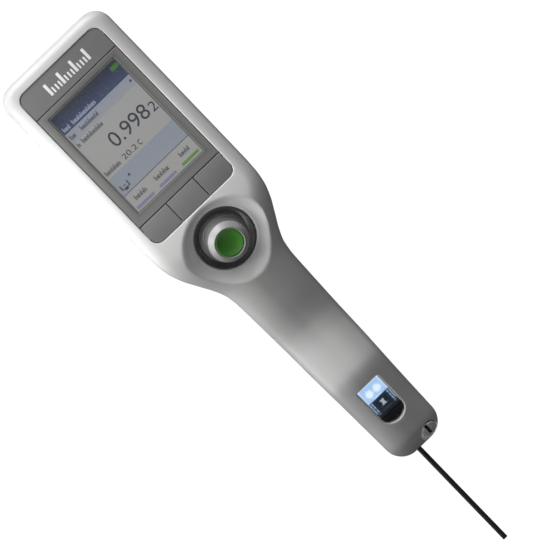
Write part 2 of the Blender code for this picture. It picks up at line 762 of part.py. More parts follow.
def hose_and_cable():
    stops = (
        (0.0126, 0.1194, 0.0170), (0.0150, 0.1215, 0.0170), (0.0158, 0.1300, 0.0165),
        (0.0125, 0.1420, 0.0155), (0.0095, 0.1560, 0.0133), (0.0085, 0.1750, 0.0105),
        (0.0085, 0.2000, 0.0085), (0.0092, 0.2250, 0.0078), (0.0092, 0.2453, 0.0078),
    )
    points = [Vector((x, along(s), z)) for x, s, z in stops]
    tube("suction_hose", smooth_path(points, 3), 0.0014, CLEAR)
    route = (
        (0.1000, 0.0302), (0.1035, 0.0290), (0.1060, 0.0240), (0.1090, 0.0180), (0.1160, 0.0142),
        (0.1300, 0.0145), (0.1500, 0.0150), (0.1650, 0.0125), (0.1850, 0.0086), (0.2050, 0.0072),
        (0.2230, 0.0070),
    )
    path = smooth_path([Vector((0, along(s), z)) for s, z in route], 2)
    rings = []
    for i, point in enumerate(path):
        ahead = path[min(i + 1, len(path) - 1)] - path[max(i - 1, 0)]
        up = Vector((0, -ahead.z, ahead.y)).normalized() * 0.0002
        middle = point + Vector((-0.0118 + 0.0016 * i / len(path), 0, 0))
        left, right = middle - Vector((0.0020, 0, 0)), middle + Vector((0.0020, 0, 0))
        rings.append([left - up, right - up, right + up, left + up])
    loft("flat_cable", rings, CABLE)


# Measuring cell and tip


def cell_parts(cell):
    """Pieces under the window, in a frame that lies along the window."""
    plate("cell_window", [cell_outline(0.0)], -0.0028, -0.0013, CLEAR, cell, edge=0.0002)
    box("light_diffuser", (-0.0064, 0.0030, -0.0046), (0.0064, 0.0112, -0.0031), DIFFUSER, cell)
    dome = [(0, -0.0049), (0.0008, -0.0050), (0.0013, -0.0054), (0.0015, -0.0066), (0, -0.0066)]
    for side, x in (("left", -0.0026), ("right", 0.0026)):
        led = turned(f"led_{side}", dome, WHITE, cell, steps=16)
        led.location = (x, 0.0072, 0)
    box("led_board", (-0.0063, 0.0031, -0.0081), (0.0063, 0.0112, -0.0069), BOARD, cell)
    block = box("cell_block", (-0.0064, -0.0110, -0.0100), (0.0064, 0.0027, -0.0040), BLACK, cell)
    pocket = box(
        "cell_pocket", (-0.0042, -0.0120, -0.0092), (0.0042, 0.0017, -0.0020), cutter=True
    )
    pocket.parent = cell
    boolean(block, pocket)
    leg, level, bend = 0.0022, -0.0058, -0.0017
    turns = [math.pi * i / 8 for i in range(9)]
    loop = [Vector((leg * math.cos(t), bend + leg * math.sin(t), level)) for t in turns]
    ends = [Vector((side * leg, -0.0128, level)) for side in (1, -1)]
    tube("cell_tube", [ends[0], *loop, ends[1]], 0.0008, CLEAR, cell)
    cylinder("cell_magnet", 0.0008, (0, -0.0022, -0.0064), (0, -0.0022, -0.0052), STEEL, cell, steps=12)
    coil = [(0.0019, -0.0074), (0.0019, -0.0089), (0.0009, -0.0089), (0.0009, -0.0074)]
    ring = turned("pickup_coil", coil, COPPER, cell, steps=16)
    ring.location = (0, -0.0010, 0)
    start, stop = (0, -0.0090, -0.0080), (0, -0.0045, -0.0080)
    cylinder("temperature_sensor", 0.0008, start, stop, STEEL, cell, steps=12)
    box("cell_board", (-0.0063, -0.0110, -0.0115), (0.0063, 0.0112, -0.0103), BOARD, cell)


def inlet():
    """Manifold, seal and fitting that the sampling tube is pushed into."""
    manifold = box(
        "cell_manifold", (-0.0070, along(0.2490), 0.0056), (0.0070, along(0.2457), 0.0142), BLACK
    )
    side = box(
        "outlet_lug", (0.0060, along(0.2490), 0.0060), (0.0108, along(0.2457), 0.0094), cutter=True
    )
    boolean(manifold, side, "UNION")
    along_tube = frame_at("tube_axis", (TUBE_X, 0, TUBE_Z), math.radians(90))
    start = -along(0.2496)
    ring = [
        (0.0022 + 0.00035 * math.cos(turn), start + 0.00035 * math.sin(turn))
        for turn in (math.tau * -i / 8 for i in range(8))
    ]
    turned("inlet_seal", ring, RUBBER, along_tube, steps=16)
    near, far = -along(0.2502), -along(0.2570)
    bore = TUBE_RADIUS + 0.00006
    fitting = [
        (0.0028, far), (0.0032, far - 0.0004), (0.0032, near + 0.0030), (0.0037, near + 0.0030),
        (0.0037, near), (bore, near), (bore, far),
    ]
    turned("inlet_fitting", fitting, BRASS, along_tube)
    near, far, bore = -along(0.2510), -along(TOTAL_LENGTH), 0.0008
    pipe = [
        (0.0010, far), (0.0012, far - 0.0001), (TUBE_RADIUS, far - 0.0004), (TUBE_RADIUS, near),
        (bore, near), (bore, far),
    ]
    turned("sampling_tube", pipe, NEEDLE, along_tube)


def fixing_screw(fixing):
    profile = [
        (0, -0.0003), (0.0022, -0.0004), (0.0038, -0.0008), (0.0046, -0.0014), (0.0047, -0.0018),
        (0.0047, -0.0027), (0.0015, -0.0027), (0.0015, -0.0078), (0.0011, -0.0082), (0, -0.0082),
    ]
    screw = turned("fixing_screw", profile, STEEL, fixing)
    slot = box("fixing_slot", (-0.0008, -0.006, -0.0018), (0.0008, 0.006, 0.001), cutter=True)
    slot.parent = fixing
    boolean(screw, slot)


def build():
    pump = frame_at("pump_axis", (0, along(PUMP_S), PUMP_HEIGHT), PUMP_TILT)
    middle = sum(CELL_S) / 2
    fall = smooth(FRONT, CELL_S[0]) - smooth(FRONT, CELL_S[1])
    tilt = math.atan2(fall, CELL_S[1] - CELL_S[0])
    cell = frame_at("cell_axis", (0, along(middle), smooth(FRONT, middle)), tilt)
    screw_at = (SCREW_X, along(SCREW_S), front_height(SCREW_X, SCREW_S))
    fixing = frame_at("fixing_axis", screw_at, SCREW_TILT)
    housing(pump, cell, fixing)
    rests()
    case_screws()
    panel()
    panel_carrier()
    screen()
    battery_bay()
    battery_cover()
    pump_parts(pump)
    hose_and_cable()
    cell_parts(cell)
    inlet()
    fixing_screw(fixing)


clear_scene()
PARTS = new_collection("handheld_density_meter")
CUTTERS = new_collection("cutters")
SHELL = finish("shell plastic", (0.78, 0.78, 0.77), 0.42)
PANEL_GREY = finish("panel plastic", (0.20, 0.20, 0.20), 0.45)
GLASS_GREY = finish("display window", (0.25, 0.25, 0.24), 0.12, alpha=0.6)
DARK_GREY = finish("dark plastic", (0.10, 0.10, 0.10), 0.55)
BLACK = finish("black plastic", (0.03, 0.03, 0.03), 0.50)
WHITE = finish("white plastic", (0.85, 0.85, 0.85), 0.40)
BUTTON = finish("button plastic", (0.62, 0.62, 0.61), 0.40)
GREEN = finish("green cap", (0.06, 0.26, 0.04), 0.35)
RUBBER = finish("rubber", (0.05, 0.05, 0.05), 0.80)
STEEL = finish("steel", (0.60, 0.60, 0.60), 0.30, metallic=1.0)
BRASS = finish("brass", (0.70, 0.55, 0.28), 0.30, metallic=1.0)
COPPER = finish("copper wire", (0.72, 0.36, 0.20), 0.35, metallic=1.0)
CLEAR = finish("clear", (0.85, 0.90, 0.95), 0.08, alpha=0.4)
DIFFUSER = finish("light diffuser", (0.55, 0.70, 0.95), 0.50)
BOARD = finish("circuit board", (0.03, 0.20, 0.10), 0.50)
LCD = finish("screen", (0.45, 0.48, 0.55), 0.30)
BATTERY = finish("battery sleeve", (0.20, 0.22, 0.25), 0.35)
CABLE = finish("flat cable", (0.75, 0.55, 0.25), 0.45)
NEEDLE = finish("tube", (0.03, 0.03, 0.03), 0.45)
build()
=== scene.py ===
"""Looks of the handheld density meter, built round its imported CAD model.

All places are in the CAD's frame, in metres. Distances called s run from the end of the head
towards the tip. The shells, the pump button, the cell and the screws are finer pieces that stand
for their CAD nodes. The other nodes keep their shape and get a better material.
"""

import bisect
import math

import bmesh
import bpy
from mathutils import Matrix, Vector


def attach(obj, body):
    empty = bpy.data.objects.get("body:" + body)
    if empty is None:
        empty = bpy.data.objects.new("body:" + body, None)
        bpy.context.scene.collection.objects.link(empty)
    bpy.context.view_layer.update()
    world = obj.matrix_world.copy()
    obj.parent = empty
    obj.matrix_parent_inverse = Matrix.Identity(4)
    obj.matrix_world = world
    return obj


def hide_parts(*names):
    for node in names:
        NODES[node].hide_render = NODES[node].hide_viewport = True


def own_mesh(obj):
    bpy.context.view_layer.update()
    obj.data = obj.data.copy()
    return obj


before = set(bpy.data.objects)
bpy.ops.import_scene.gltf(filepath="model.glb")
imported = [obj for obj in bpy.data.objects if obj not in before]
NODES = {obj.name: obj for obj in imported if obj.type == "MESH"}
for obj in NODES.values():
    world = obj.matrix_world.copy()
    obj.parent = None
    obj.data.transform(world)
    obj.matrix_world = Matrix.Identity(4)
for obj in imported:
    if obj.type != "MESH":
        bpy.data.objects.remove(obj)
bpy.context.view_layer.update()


def mm(*points):
    """Points given in millimetres."""
    return [tuple(part / 1000 for part in point) for point in points]


GAP = 0.0003
BODY_LENGTH = 0.2615
TOTAL_LENGTH = 0.3215
HALF_WIDTH = mm(
    (0, 33.8), (100, 33.5), (110, 33.2), (117, 32.2), (124, 29.8), (132, 25.5), (139, 21.6),
    (145, 19.2), (152, 18.2), (165, 17.7), (184, 17.1), (203, 16.7), (223, 16), (262, 15),
)
FRONT = mm(
    (0, 40), (104, 40), (114, 39.8), (122, 38.9), (130, 36.7), (139, 33.4), (150, 29.7),
    (166, 24.9), (178, 21.3), (183, 20.5), (188, 20.7), (194, 21.7), (202, 23.5), (210, 25.4),
    (213.5, 26), (217, 25.7), (222, 24.7), (262, 16),
)
BACK = mm(
    (0, 2), (98, 2), (108, 3.6), (118, 7.5), (128, 9.5), (142, 9.3), (158, 6.8), (175, 3.4),
    (192, 1.2), (203, 0.8), (224, 0.8), (240, 1.4), (262, 2.6),
)
PARTING = mm((0, 17), (100, 17), (125, 18.5), (150, 15.5), (190, 9.5), (225, 6.5), (262, 5.8))
WALL, FRONT_WALL = 0.0018, 0.0026
HEAD_CORNER, HEAD_FRONT_ROUND, HEAD_BACK_ROUND = 0.0095, 0.0055, 0.0070
TIP_CORNER, TIP_FRONT_ROUND, TIP_BACK_ROUND = 0.0100, 0.0075, 0.0050
HEAD_EDGE = (0.0070, 0.0055, 0.0065, 0.0070)
GRIP_EDGE_X, GRIP_EDGE_Z = 0.9, (0.0100, 0.0090)
GRIP_STARTS, GRIP_WHOLE = 0.108, 0.150
EDGE_SHARE = 0.96

PANEL_HALF, PANEL_S = 0.02625, (0.0074, 0.1046)
WINDOW_S = (0.0215, 0.0925)
PANEL_TOP_CORNER, PANEL_LOW_CORNER, PANEL_RIM = 0.0048, 0.0046, 0.0400
PANEL_LOW, PANEL_TOP, PANEL_EDGE, PANEL_JOINT = 0.0374, 0.0396, 0.00025, 0.0001
KEY_LOW, KEY_S, KEY_DIVIDER = 0.0378, 0.0986, 0.0089
LCD_S, LCD_HALF, LCD_TOP = (0.0249, 0.0869), 0.02175, 0.0354
INK_STEP, INK_DEEP = 0.00006, 0.00004
TICKS, TICK_X, TICK_S = 13, (-0.0117, 0.0131), (0.0112, 0.0178)
PUMP_S, PUMP_HEIGHT, PUMP_TILT = 0.1258, 0.03645, math.radians(18)
DISH_DEPTH, DISH_RADIUS, DISH_SHIFT, DISH_SOFT = 0.0046, 0.0220, 0.0002, 0.0009
DISH_BEND, DISH_REACH, DISH_S, DISH_LEVEL = 1.7, 0.034, (0.098, 0.158), 0.003
FINE_S = (0.099, 0.152)
HOLE_RADIUS, HOLE_EDGE = 0.01575, 0.0006
CELL_S, CELL_HALF, CELL_ROUND = (0.2220, 0.2448), 0.00685, 0.0057
CELL_SHADE_LIP, LAMP_X, LAMP_Y = -0.0059, 0.0024, 0.0067
TUBE_X, TUBE_Z, TUBE_RADIUS = -0.0032, 0.0090, 0.0013
SCREW_X, SCREW_S, SCREW_TILT = 0.0064, 0.2593, math.radians(58)
COVER_HALF, COVER_S, COVER_CORNER, COVER_SCREW_S = 0.0177, (0.0083, 0.0837), 0.003, 0.078
CASE_SCREWS = mm((-29.3, 11.5), (29.3, 11.5), (-29.3, 97.5), (29.3, 97.5), (0, 166))
BOSS_RADIUS, LUG_RADIUS = 0.0034, 0.0056
# Name, node, x, half width, stretch of the body, corner, height of the back, depth of the seat
PADS = (
    ("rest_left", "rest_strip_left", -0.0232, 0.0022, (0.022, 0.090), 0.0022, 0.0020, 0.0027),
    ("rest_right", "rest_strip_right", 0.0232, 0.0022, (0.022, 0.090), 0.0022, 0.0020, 0.0027),
    ("rest_heel", "heel_pad", 0.0, 0.0065, (0.202, 0.226), 0.0040, 0.0008, 0.0017),
)
# Tops and widths of the strokes that stand for writing, as parts of the line and of a step
STROKE_STEP = 0.00078
STROKE_TOPS = (0.0, 0.35, 0.35, 0.28, 0.35, 0.0, 0.4)
STROKE_WIDTHS = (0.55, 0.62, 0.74, 0.50, 0.68, 0.48, 0.72)
LCD_LIGHT = 0.93
LIGHT_AIM = (0.0, 0.0, 0.02)
CAMERA_LENS, CAMERA_PLACE, CAMERA_TURN = 684.4, (0.0048, 0.00735, 5.04), math.radians(-44)
WORLD_LIGHT, FLOOR_LIGHT, FLOOR_SIZE = 0.02, 0.95, 3.0


# Shape of the body, as the CAD has it


def along(s):
    """World y at the distance s from the head end."""
    return TOTAL_LENGTH / 2 - s


def smooth(points, s):
    """Value at s of a smooth curve through the (s, value) points that never overshoots them."""
    places = [point[0] for point in points]
    if s <= places[0]:
        return points[0][1]
    if s >= places[-1]:
        return points[-1][1]
    slopes = [(b[1] - a[1]) / (b[0] - a[0]) for a, b in zip(points, points[1:])]
    tangents = [0.0 if a * b <= 0 else 2 * a * b / (a + b) for a, b in zip(slopes, slopes[1:])]
    tangents = [slopes[0], *tangents, slopes[-1]]
    i = bisect.bisect_right(places, s) - 1
    step = places[i + 1] - places[i]
    t = (s - places[i]) / step
    rise = points[i + 1][1] - points[i][1]
    ease = t * t * (3 - 2 * t)
    bend = step * t * (1 - t) * ((1 - t) * tangents[i] - t * tangents[i + 1])
    return points[i][1] + rise * ease + bend


def end_drop(distance, radius):
    """Fall of a surface at a distance from an end that is rounded to the radius."""
    if distance >= radius:
        return 0.0
    return radius - math.sqrt(max(0.0, radius**2 - (radius - distance) ** 2))


def ease(value, start, stop):
    """Smooth step from 0 at start to 1 at stop."""
    t = min(1.0, max(0.0, (value - start) / (stop - start)))
    return t * t * (3 - 2 * t)


def body_shape(s, wall=0.0, front_wall=0.0):
    """Half width, top, bottom and corner radii of the cross-section, moved in by the walls."""
    head, tip = s - wall, BODY_LENGTH - wall - s
    half = smooth(HALF_WIDTH, s) - wall
    half -= end_drop(head, HEAD_CORNER - wall) + end_drop(tip, TIP_CORNER - wall)
    top = smooth(FRONT, s) - front_wall
    top -= end_drop(head, HEAD_FRONT_ROUND - wall) + end_drop(tip, TIP_FRONT_ROUND - wall)
    low = smooth(BACK, s) + wall
    low += end_drop(head, HEAD_BACK_ROUND - wall) + end_drop(tip, TIP_BACK_ROUND - wall)
    grip = ease(s, GRIP_STARTS, GRIP_WHOLE)
    front_x, front_z, back_x, back_z = (radius - wall for radius in HEAD_EDGE)
    front_x += grip * (GRIP_EDGE_X * half - front_x)
    back_x += grip * (GRIP_EDGE_X * half - back_x)
    front_z += grip * (GRIP_EDGE_Z[0] - wall - front_z)
    back_z += grip * (GRIP_EDGE_Z[1] - wall - back_z)
    fit = min(1.0, EDGE_SHARE * (top - low) / (front_z + back_z))
    return half, top, low, front_x, front_z * fit, back_x, back_z * fit


def front_height(x, s):
    """Height of the body's front, before the dish is pushed in."""
    half, top, _, edge_x, edge_z, _, _ = body_shape(s)
    t = min(1.0, max(0.0, abs(x) - (half - edge_x)) / edge_x)
    return top - edge_z * (1 - math.sqrt(1 - t * t))


def frame_matrix(place, tilt):
    return Matrix.Translation(place) @ Matrix.Rotation(tilt, 4, "X")


PUMP = frame_matrix((0, along(PUMP_S), PUMP_HEIGHT), PUMP_TILT)
PUMP_BACK = PUMP.inverted()
CELL_MIDDLE = sum(CELL_S) / 2
CELL_FALL = smooth(FRONT, CELL_S[0]) - smooth(FRONT, CELL_S[1])
CELL_TILT = math.atan2(CELL_FALL, CELL_S[1] - CELL_S[0])
CELL = frame_matrix((0, along(CELL_MIDDLE), smooth(FRONT, CELL_MIDDLE)), CELL_TILT)
SCREW = frame_matrix((SCREW_X, along(SCREW_S), front_height(SCREW_X, SCREW_S)), SCREW_TILT)
TUBE = frame_matrix((TUBE_X, 0, TUBE_Z), math.radians(90))


def dish_point(point, wall):
    """The point of the body's front, pushed down into the dish round the pump button."""
    local = PUMP_BACK @ point
    radius = math.hypot(local.x, local.y)
    if radius > DISH_REACH:
        return point
    ux, uy = (local.x / radius, local.y / radius) if radius > 1e-9 else (1.0, 0.0)
    rim = uy * DISH_SHIFT + math.sqrt(DISH_RADIUS**2 - (ux * DISH_SHIFT) ** 2)
    t = (radius - HOLE_RADIUS) / (rim - HOLE_RADIUS)
    if t <= 0:
        floor = -DISH_DEPTH
    elif t <= 1:
        floor = -DISH_DEPTH * (1 - t**DISH_BEND)
    else:
        floor = DISH_DEPTH * DISH_BEND * (t - 1)
    floor -= wall
    if local.z <= floor - DISH_SOFT:
        return point
    h = min(1.0, max(0.0, 0.5 + 0.5 * (local.z - floor) / DISH_SOFT))
    local.z = local.z * (1 - h) + floor * h - DISH_SOFT * h * (1 - h)
    return PUMP @ local


def quarter(steps):
    """Sine and cosine at even steps of a quarter turn."""
    turns = [math.pi / 2 * i / steps for i in range(steps + 1)]
    return [(math.sin(t), math.cos(t)) for t in turns]


def resample(points, count):
    """Points that divide a line of points into the given number of equal steps."""
    sums = [0.0]
    for a, b in zip(points, points[1:]):
        sums.append(sums[-1] + math.dist(a, b))
    made = []
    for i in range(count + 1):
        want = sums[-1] * i / count
        k = min(len(points) - 2, max(0, bisect.bisect_right(sums, want) - 1))
        span = sums[k + 1] - sums[k]
        t = (want - sums[k]) / span if span > 0 else 0.0
        made.append(tuple(p + (q - p) * t for p, q in zip(points[k], points[k + 1])))
    return made


def fine_ring(s, wall, front_wall, front, side, back):
    """Closed ring round the cross-section from the middle of the front, in even steps."""
    y = along(s)
    half, top, low, front_x, front_z, back_x, back_z = body_shape(s, wall, front_wall)
    turns = quarter(40)
    over = [(half - front_x + front_x * s, top - front_z + front_z * c) for s, c in turns]
    right = resample([(0.0, top), *over], front)
    right += resample([right[-1], (half, low + back_z)], side)[1:]
    below = [(half - back_x + back_x * c, low + back_z - back_z * s) for s, c in turns]
    right += resample([*below, (0.0, low)], back)[1:]
    left = [(-x, z) for x, z in right[-2:0:-1]]
    return [Vector((x, y, z)) for x, z in right + left]


def stations(wall, ends, head, dish, grip):
    """Places of the cross-sections, closer together at the ends and round the dish."""
    def spread(start, stop, step):
        count = max(1, round((stop - start) / step))
        return [start + (stop - start) * i / count for i in range(count)]

    stops = [wall + (HEAD_CORNER - wall) * (1 - c) for _, c in quarter(ends)[:-1]]
    stops += spread(HEAD_CORNER, FINE_S[0], head) + spread(*FINE_S, dish)
    stops += spread(FINE_S[1], BODY_LENGTH - TIP_CORNER, grip)
    tip = BODY_LENGTH - wall
    stops += [tip - (TIP_CORNER - wall) * (1 - c) for _, c in reversed(quarter(ends))]
    return stops


# Meshes


def placed(name, data):
    """New object in the scene."""
    obj = bpy.data.objects.new(name, data)
    bpy.context.scene.collection.objects.link(obj)
    return obj


def object_from(name, bm, matrix=None, sharp=40):
    bmesh.ops.recalc_face_normals(bm, faces=bm.faces)
    mesh = bpy.data.meshes.new(name)
    bm.to_mesh(mesh)
    bm.free()
    if matrix:
        mesh.transform(matrix)
    mesh.shade_smooth()
    mesh.set_sharp_from_angle(angle=math.radians(sharp))
    return placed(name, mesh)


def loft(name, rings, matrix=None, sharp=40):
    """Solid through rings of the same number of points."""
    bm = bmesh.new()
    rows = [[bm.verts.new(point) for point in ring] for ring in rings]
    for row, after in zip(rows, rows[1:]):
        for i in range(len(row)):
            j = (i + 1) % len(row)
            bm.faces.new((row[i], row[j], after[j], after[i]))
    bm.faces.new(rows[0])
    bm.faces.new(rows[-1])
    return object_from(name, bm, matrix, sharp)


def turned(name, profile, matrix, steps, sharp=40):
    """Solid turned about z. The profile starts and ends on the axis, or is a closed section."""
    bm = bmesh.new()
    on_axis = profile[0][0] == 0 and profile[-1][0] == 0
    rows = []
    for radius, height in profile:
        if radius == 0:
            rows.append([bm.verts.new((0, 0, height))] * steps)
            continue
        turns = [math.tau * i / steps for i in range(steps)]
        ring = [(radius * math.cos(t), radius * math.sin(t), height) for t in turns]
        rows.append([bm.verts.new(point) for point in ring])
    pairs = list(zip(rows, rows[1:]))
    if not on_axis:
        pairs.append((rows[-1], rows[0]))
    for row, after in pairs:
        for i in range(steps):
            j = (i + 1) % steps
            corners = list(dict.fromkeys((row[i], row[j], after[j], after[i])))
            if len(corners) > 2:
                bm.faces.new(corners)
    return object_from(name, bm, matrix, sharp)


def rounded(profile, radius):
    """The profile with its inner corners turned into arcs of about that radius."""
    made = [profile[0]]
    for before, here, after in zip(profile, profile[1:], profile[2:]):
        a, b, c = Vector(before), Vector(here), Vector(after)
        reach = min(radius, 0.45 * (a - b).length, 0.45 * (c - b).length)
        start, stop = b + (a - b).normalized() * reach, b + (c - b).normalized() * reach
        for i in range(5):
            t = i / 4
            point = start * (1 - t) ** 2 + b * 2 * t * (1 - t) + stop * t**2
            made.append((point.x, point.y))
    return [*made, profile[-1]]


def rounded_rectangle(x0, x1, y0, y1, radii, steps=8):
    """Outline from the lower left corner, anticlockwise, with a radius at each corner."""
    corners = (
        (x0, y0, 1, 1, 180), (x1, y0, -1, 1, 270), (x1, y1, -1, -1, 0), (x0, y1, 1, -1, 90),
    )
    outline = []
    for (x, y, dx, dy, first), radius in zip(corners, radii):
        for i in range(steps + 1 if radius else 1):
            turn = math.radians(first + 90 * i / steps)
            cos, sin = math.cos(turn), math.sin(turn)
            outline.append((x + dx * radius + radius * cos, y + dy * radius + radius * sin))
    return outline


def plate(name, outline, low, high, matrix=None):
    """Flat piece between two heights."""
    return loft(name, [[(x, y, z) for x, y in outline] for z in (low, high)], matrix)


def pillow(name, outline_at, low, high, edge, matrix=None):
    """Plate with rounded upper edges. outline_at gives its outline grown by a distance."""
    rings = [[(x, y, low) for x, y in outline_at(0.0)]]
    for s, c in quarter(4):
        z = high - edge + edge * s
        rings.append([(x, y, z) for x, y in outline_at(-edge * (1 - c))])
    return loft(name, rings, matrix)


def slab(name, outline_at, low, high, edge, look, matrix=None):
    """Plate with rounded upper edges, in its own finish."""
    return tinted(pillow(name, outline_at, low, high, edge, matrix), look)


def tinted(obj, look):
    """The object with its finish, before it is joined to others."""
    obj.data.materials.append(look)
    return obj


def block(x0, x1, s0, s1, corner=0.0, spare=0.0, steps=3):
    """Outline that can grow, between two distances from the head end, with room to spare."""
    def outline_at(g):
        g += spare
        radii = [corner + g if corner else 0.0] * 4
        return rounded_rectangle(x0 - g, x1 + g, along(s1) - g, along(s0) + g, radii, steps)
    return outline_at


def tube(name, points, radius, steps, matrix):
    """Round bar along a line of points, a little narrower at its ends."""
    points = [Vector(p) for p in points]
    rings = []
    normal = None
    for i, point in enumerate(points):
        ahead = (points[min(i + 1, len(points) - 1)] - points[max(i - 1, 0)]).normalized()
        if normal is None:
            normal = ahead.orthogonal().normalized()
        normal = (normal - ahead * normal.dot(ahead)).normalized()
        side = ahead.cross(normal)
        shrink = 0.8 if i in (0, len(points) - 1) else 1.0
        turns = [math.tau * k / steps for k in range(steps)]
        rings.append(
            [point + (normal * math.cos(t) + side * math.sin(t)) * radius * shrink for t in turns]
        )
    return loft(name, rings, matrix, 50)


def cut(obj, tool, keep=False):
    """Takes the tool's shape out of the object."""
    modifier = obj.modifiers.new("cut", "BOOLEAN")
    modifier.object = tool
    modifier.operation = "DIFFERENCE"
    modifier.solver = "EXACT"
    graph = bpy.context.evaluated_depsgraph_get()
    made = bpy.data.meshes.new_from_object(obj.evaluated_get(graph))
    obj.modifiers.clear()
    old = obj.data
    obj.data = made
    bpy.data.meshes.remove(old)
    obj.data.shade_smooth()
    obj.data.set_sharp_from_angle(angle=math.radians(35))
    if not keep:
        remove(tool)


def remove(obj):
    mesh = obj.data
    bpy.data.objects.remove(obj)
    bpy.data.meshes.remove(mesh)


def box(name, low, high, matrix=None, edge=0.0):
    """Block with rounded edges."""
    bm = bmesh.new()
    bmesh.ops.create_cube(bm, size=1.0)
    bmesh.ops.scale(bm, vec=[b - a for a, b in zip(low, high)], verts=bm.verts)
    bmesh.ops.translate(bm, vec=[(a + b) / 2 for a, b in zip(low, high)], verts=bm.verts)
    if edge:
        bmesh.ops.bevel(
            bm, geom=bm.edges[:], offset=edge, segments=3, profile=0.5, affect="EDGES"
        )
    return object_from(name, bm, matrix)


def join(name, pieces):
    """One object from several, each keeping its own material."""
    target = pieces[0]
    with bpy.context.temp_override(
        active_object=target, object=target, selected_objects=pieces,
        selected_editable_objects=pieces,
    ):
        bpy.ops.object.join()
    target.name = name
    target.data.name = name
    return target


# Materials


class Look:
    """A Principled material with helpers for its nodes."""

    def __init__(self, name, color, roughness, **sockets):
        self.made = bpy.data.materials.new(name)
        self.made.use_nodes = True
        self.tree = self.made.node_tree
        self.shader = self.tree.nodes["Principled BSDF"]
        self.set("Base Color", (*color, 1.0))
        self.set("Roughness", roughness)
        for key, value in sockets.items():
            self.set(key.replace("_", " "), value)
        self.place = self.node("ShaderNodeTexCoord").outputs["Object"]

    def set(self, socket, value):
        self.shader.inputs[socket].default_value = value

    def feed(self, socket, value):
        """Links a socket to the value or sets it."""
        if isinstance(value, bpy.types.NodeSocket):
            self.tree.links.new(value, socket)
        else:
            socket.default_value = value

    def node(self, kind, inputs=None, **settings):
        made = self.tree.nodes.new(kind)
        for key, value in settings.items():
            setattr(made, key, value)
        for key, value in (inputs or {}).items():
            self.feed(made.inputs[key], value)
        return made

    def noise(self, scale, detail=3.0, rough=0.5):
        inputs = {"Scale": scale, "Detail": detail, "Roughness": rough, "Vector": self.place}
        return self.node("ShaderNodeTexNoise", inputs).outputs["Fac"]

    def lie_in(self, matrix):
        """Measures places in another frame."""
        place, turn = matrix.to_translation(), matrix.to_euler()
        inputs = {"Location": place, "Rotation": turn, "Vector": self.place}
        mapping = self.node("ShaderNodeMapping", inputs, vector_type="TEXTURE")
        self.place = mapping.outputs["Vector"]

    def apart(self):
        return self.node("ShaderNodeSeparateXYZ", {"Vector": self.place}).outputs

    def count(self, operation, *values):
        inputs = dict(enumerate(values))
        return self.node("ShaderNodeMath", inputs, operation=operation).outputs["Value"]

    def ramp(self, value, stops):
        made = self.node("ShaderNodeValToRGB", {"Fac": value})
        line = made.color_ramp
        while len(line.elements) < len(stops):
            line.elements.new(0.5)
        for element, (place, color) in zip(line.elements, stops):
            element.position = place
            element.color = (*color, 1.0)
        return made.outputs["Color"]

    def span(self, value, start, stop, low=0.0, high=1.0):
        """The value, stretched from start and stop to low and high."""
        inputs = {"Value": value, "To Min": low, "To Max": high}
        inputs.update({"From Min": start, "From Max": stop})
        return self.node("ShaderNodeMapRange", inputs).outputs["Result"]

    def bump(self, *layers):
        """Bump from (height, strength, distance) layers, one on top of the other."""
        inputs = {}
        for height, strength, distance in layers:
            inputs.update({"Strength": strength, "Distance": distance, "Height": height})
            inputs["Normal"] = self.node("ShaderNodeBump", inputs).outputs["Normal"]
        self.feed(self.shader.inputs["Normal"], inputs["Normal"])

    def color_from(self, value, stops):
        self.feed(self.shader.inputs["Base Color"], self.ramp(value, stops))

    def rough_from(self, value, low, high):
        self.feed(self.shader.inputs["Roughness"], self.span(value, 0.3, 0.7, low, high))

    def shine(self, color, strength):
        self.feed(self.shader.inputs["Emission Color"], color)
        self.set("Emission Strength", strength)


def tones(color, *factors):
    """Stops from a darker to a lighter tone of the colour."""
    shades = [tuple(min(1.0, part * factor) for part in color) for factor in factors]
    return list(zip((0.3, 0.7), shades))


def moulded(name, color, rough, grain=1400.0, depth=0.35, wave=0.25, vary=0.03):
    """Moulded plastic: fine spark-eroded grain, faint flow waves and slight changes of tone."""
    look = Look(name, color, rough)
    fine = look.noise(grain, 2.0, 0.6)
    look.color_from(look.noise(45.0, 3.0, 0.55), tones(color, 1 - vary, 1 + vary))
    look.rough_from(fine, rough - 0.04, rough + 0.06)
    look.bump((look.noise(160.0, 2.0), wave, 0.00008), (fine, depth, 0.00003))
    return look.made


def metal(name, color, rough, metallic=1.0):
    """Worked metal with fine tool marks."""
    look = Look(name, color, rough, Metallic=metallic)
    marks = look.noise(900.0, 3.0, 0.7)
    look.color_from(look.noise(260.0, 2.0), tones(color, 0.86, 1.08))
    look.rough_from(marks, rough - 0.07, rough + 0.12)
    look.bump((marks, 0.25, 0.00003))
    return look.made


def rubber(name, color, rough):
    """Matt rubber with fine grain."""
    look = Look(name, color, rough, Specular_IOR_Level=0.35)
    fine = look.noise(2600.0, 3.0, 0.6)
    look.color_from(look.noise(300.0), tones(color, 0.8, 1.35))
    look.rough_from(fine, rough - 0.1, rough + 0.12)
    look.bump((fine, 0.4, 0.00004))
    return look.made


def glowing(name, color, light, strength, vary=0.12, scale=220.0):
    """Part that shines. Also used for painted light: a glow that stands for the lamps' light
    falling on a part, and for a painted reflection.
    """
    look = Look(name, color, 0.4)
    tone = look.noise(scale, 2.0)
    look.color_from(tone, tones(color, 1 - vary, 1.0))
    look.shine(look.ramp(tone, tones(light, 1 - vary, 1.0)), strength)
    return look.made


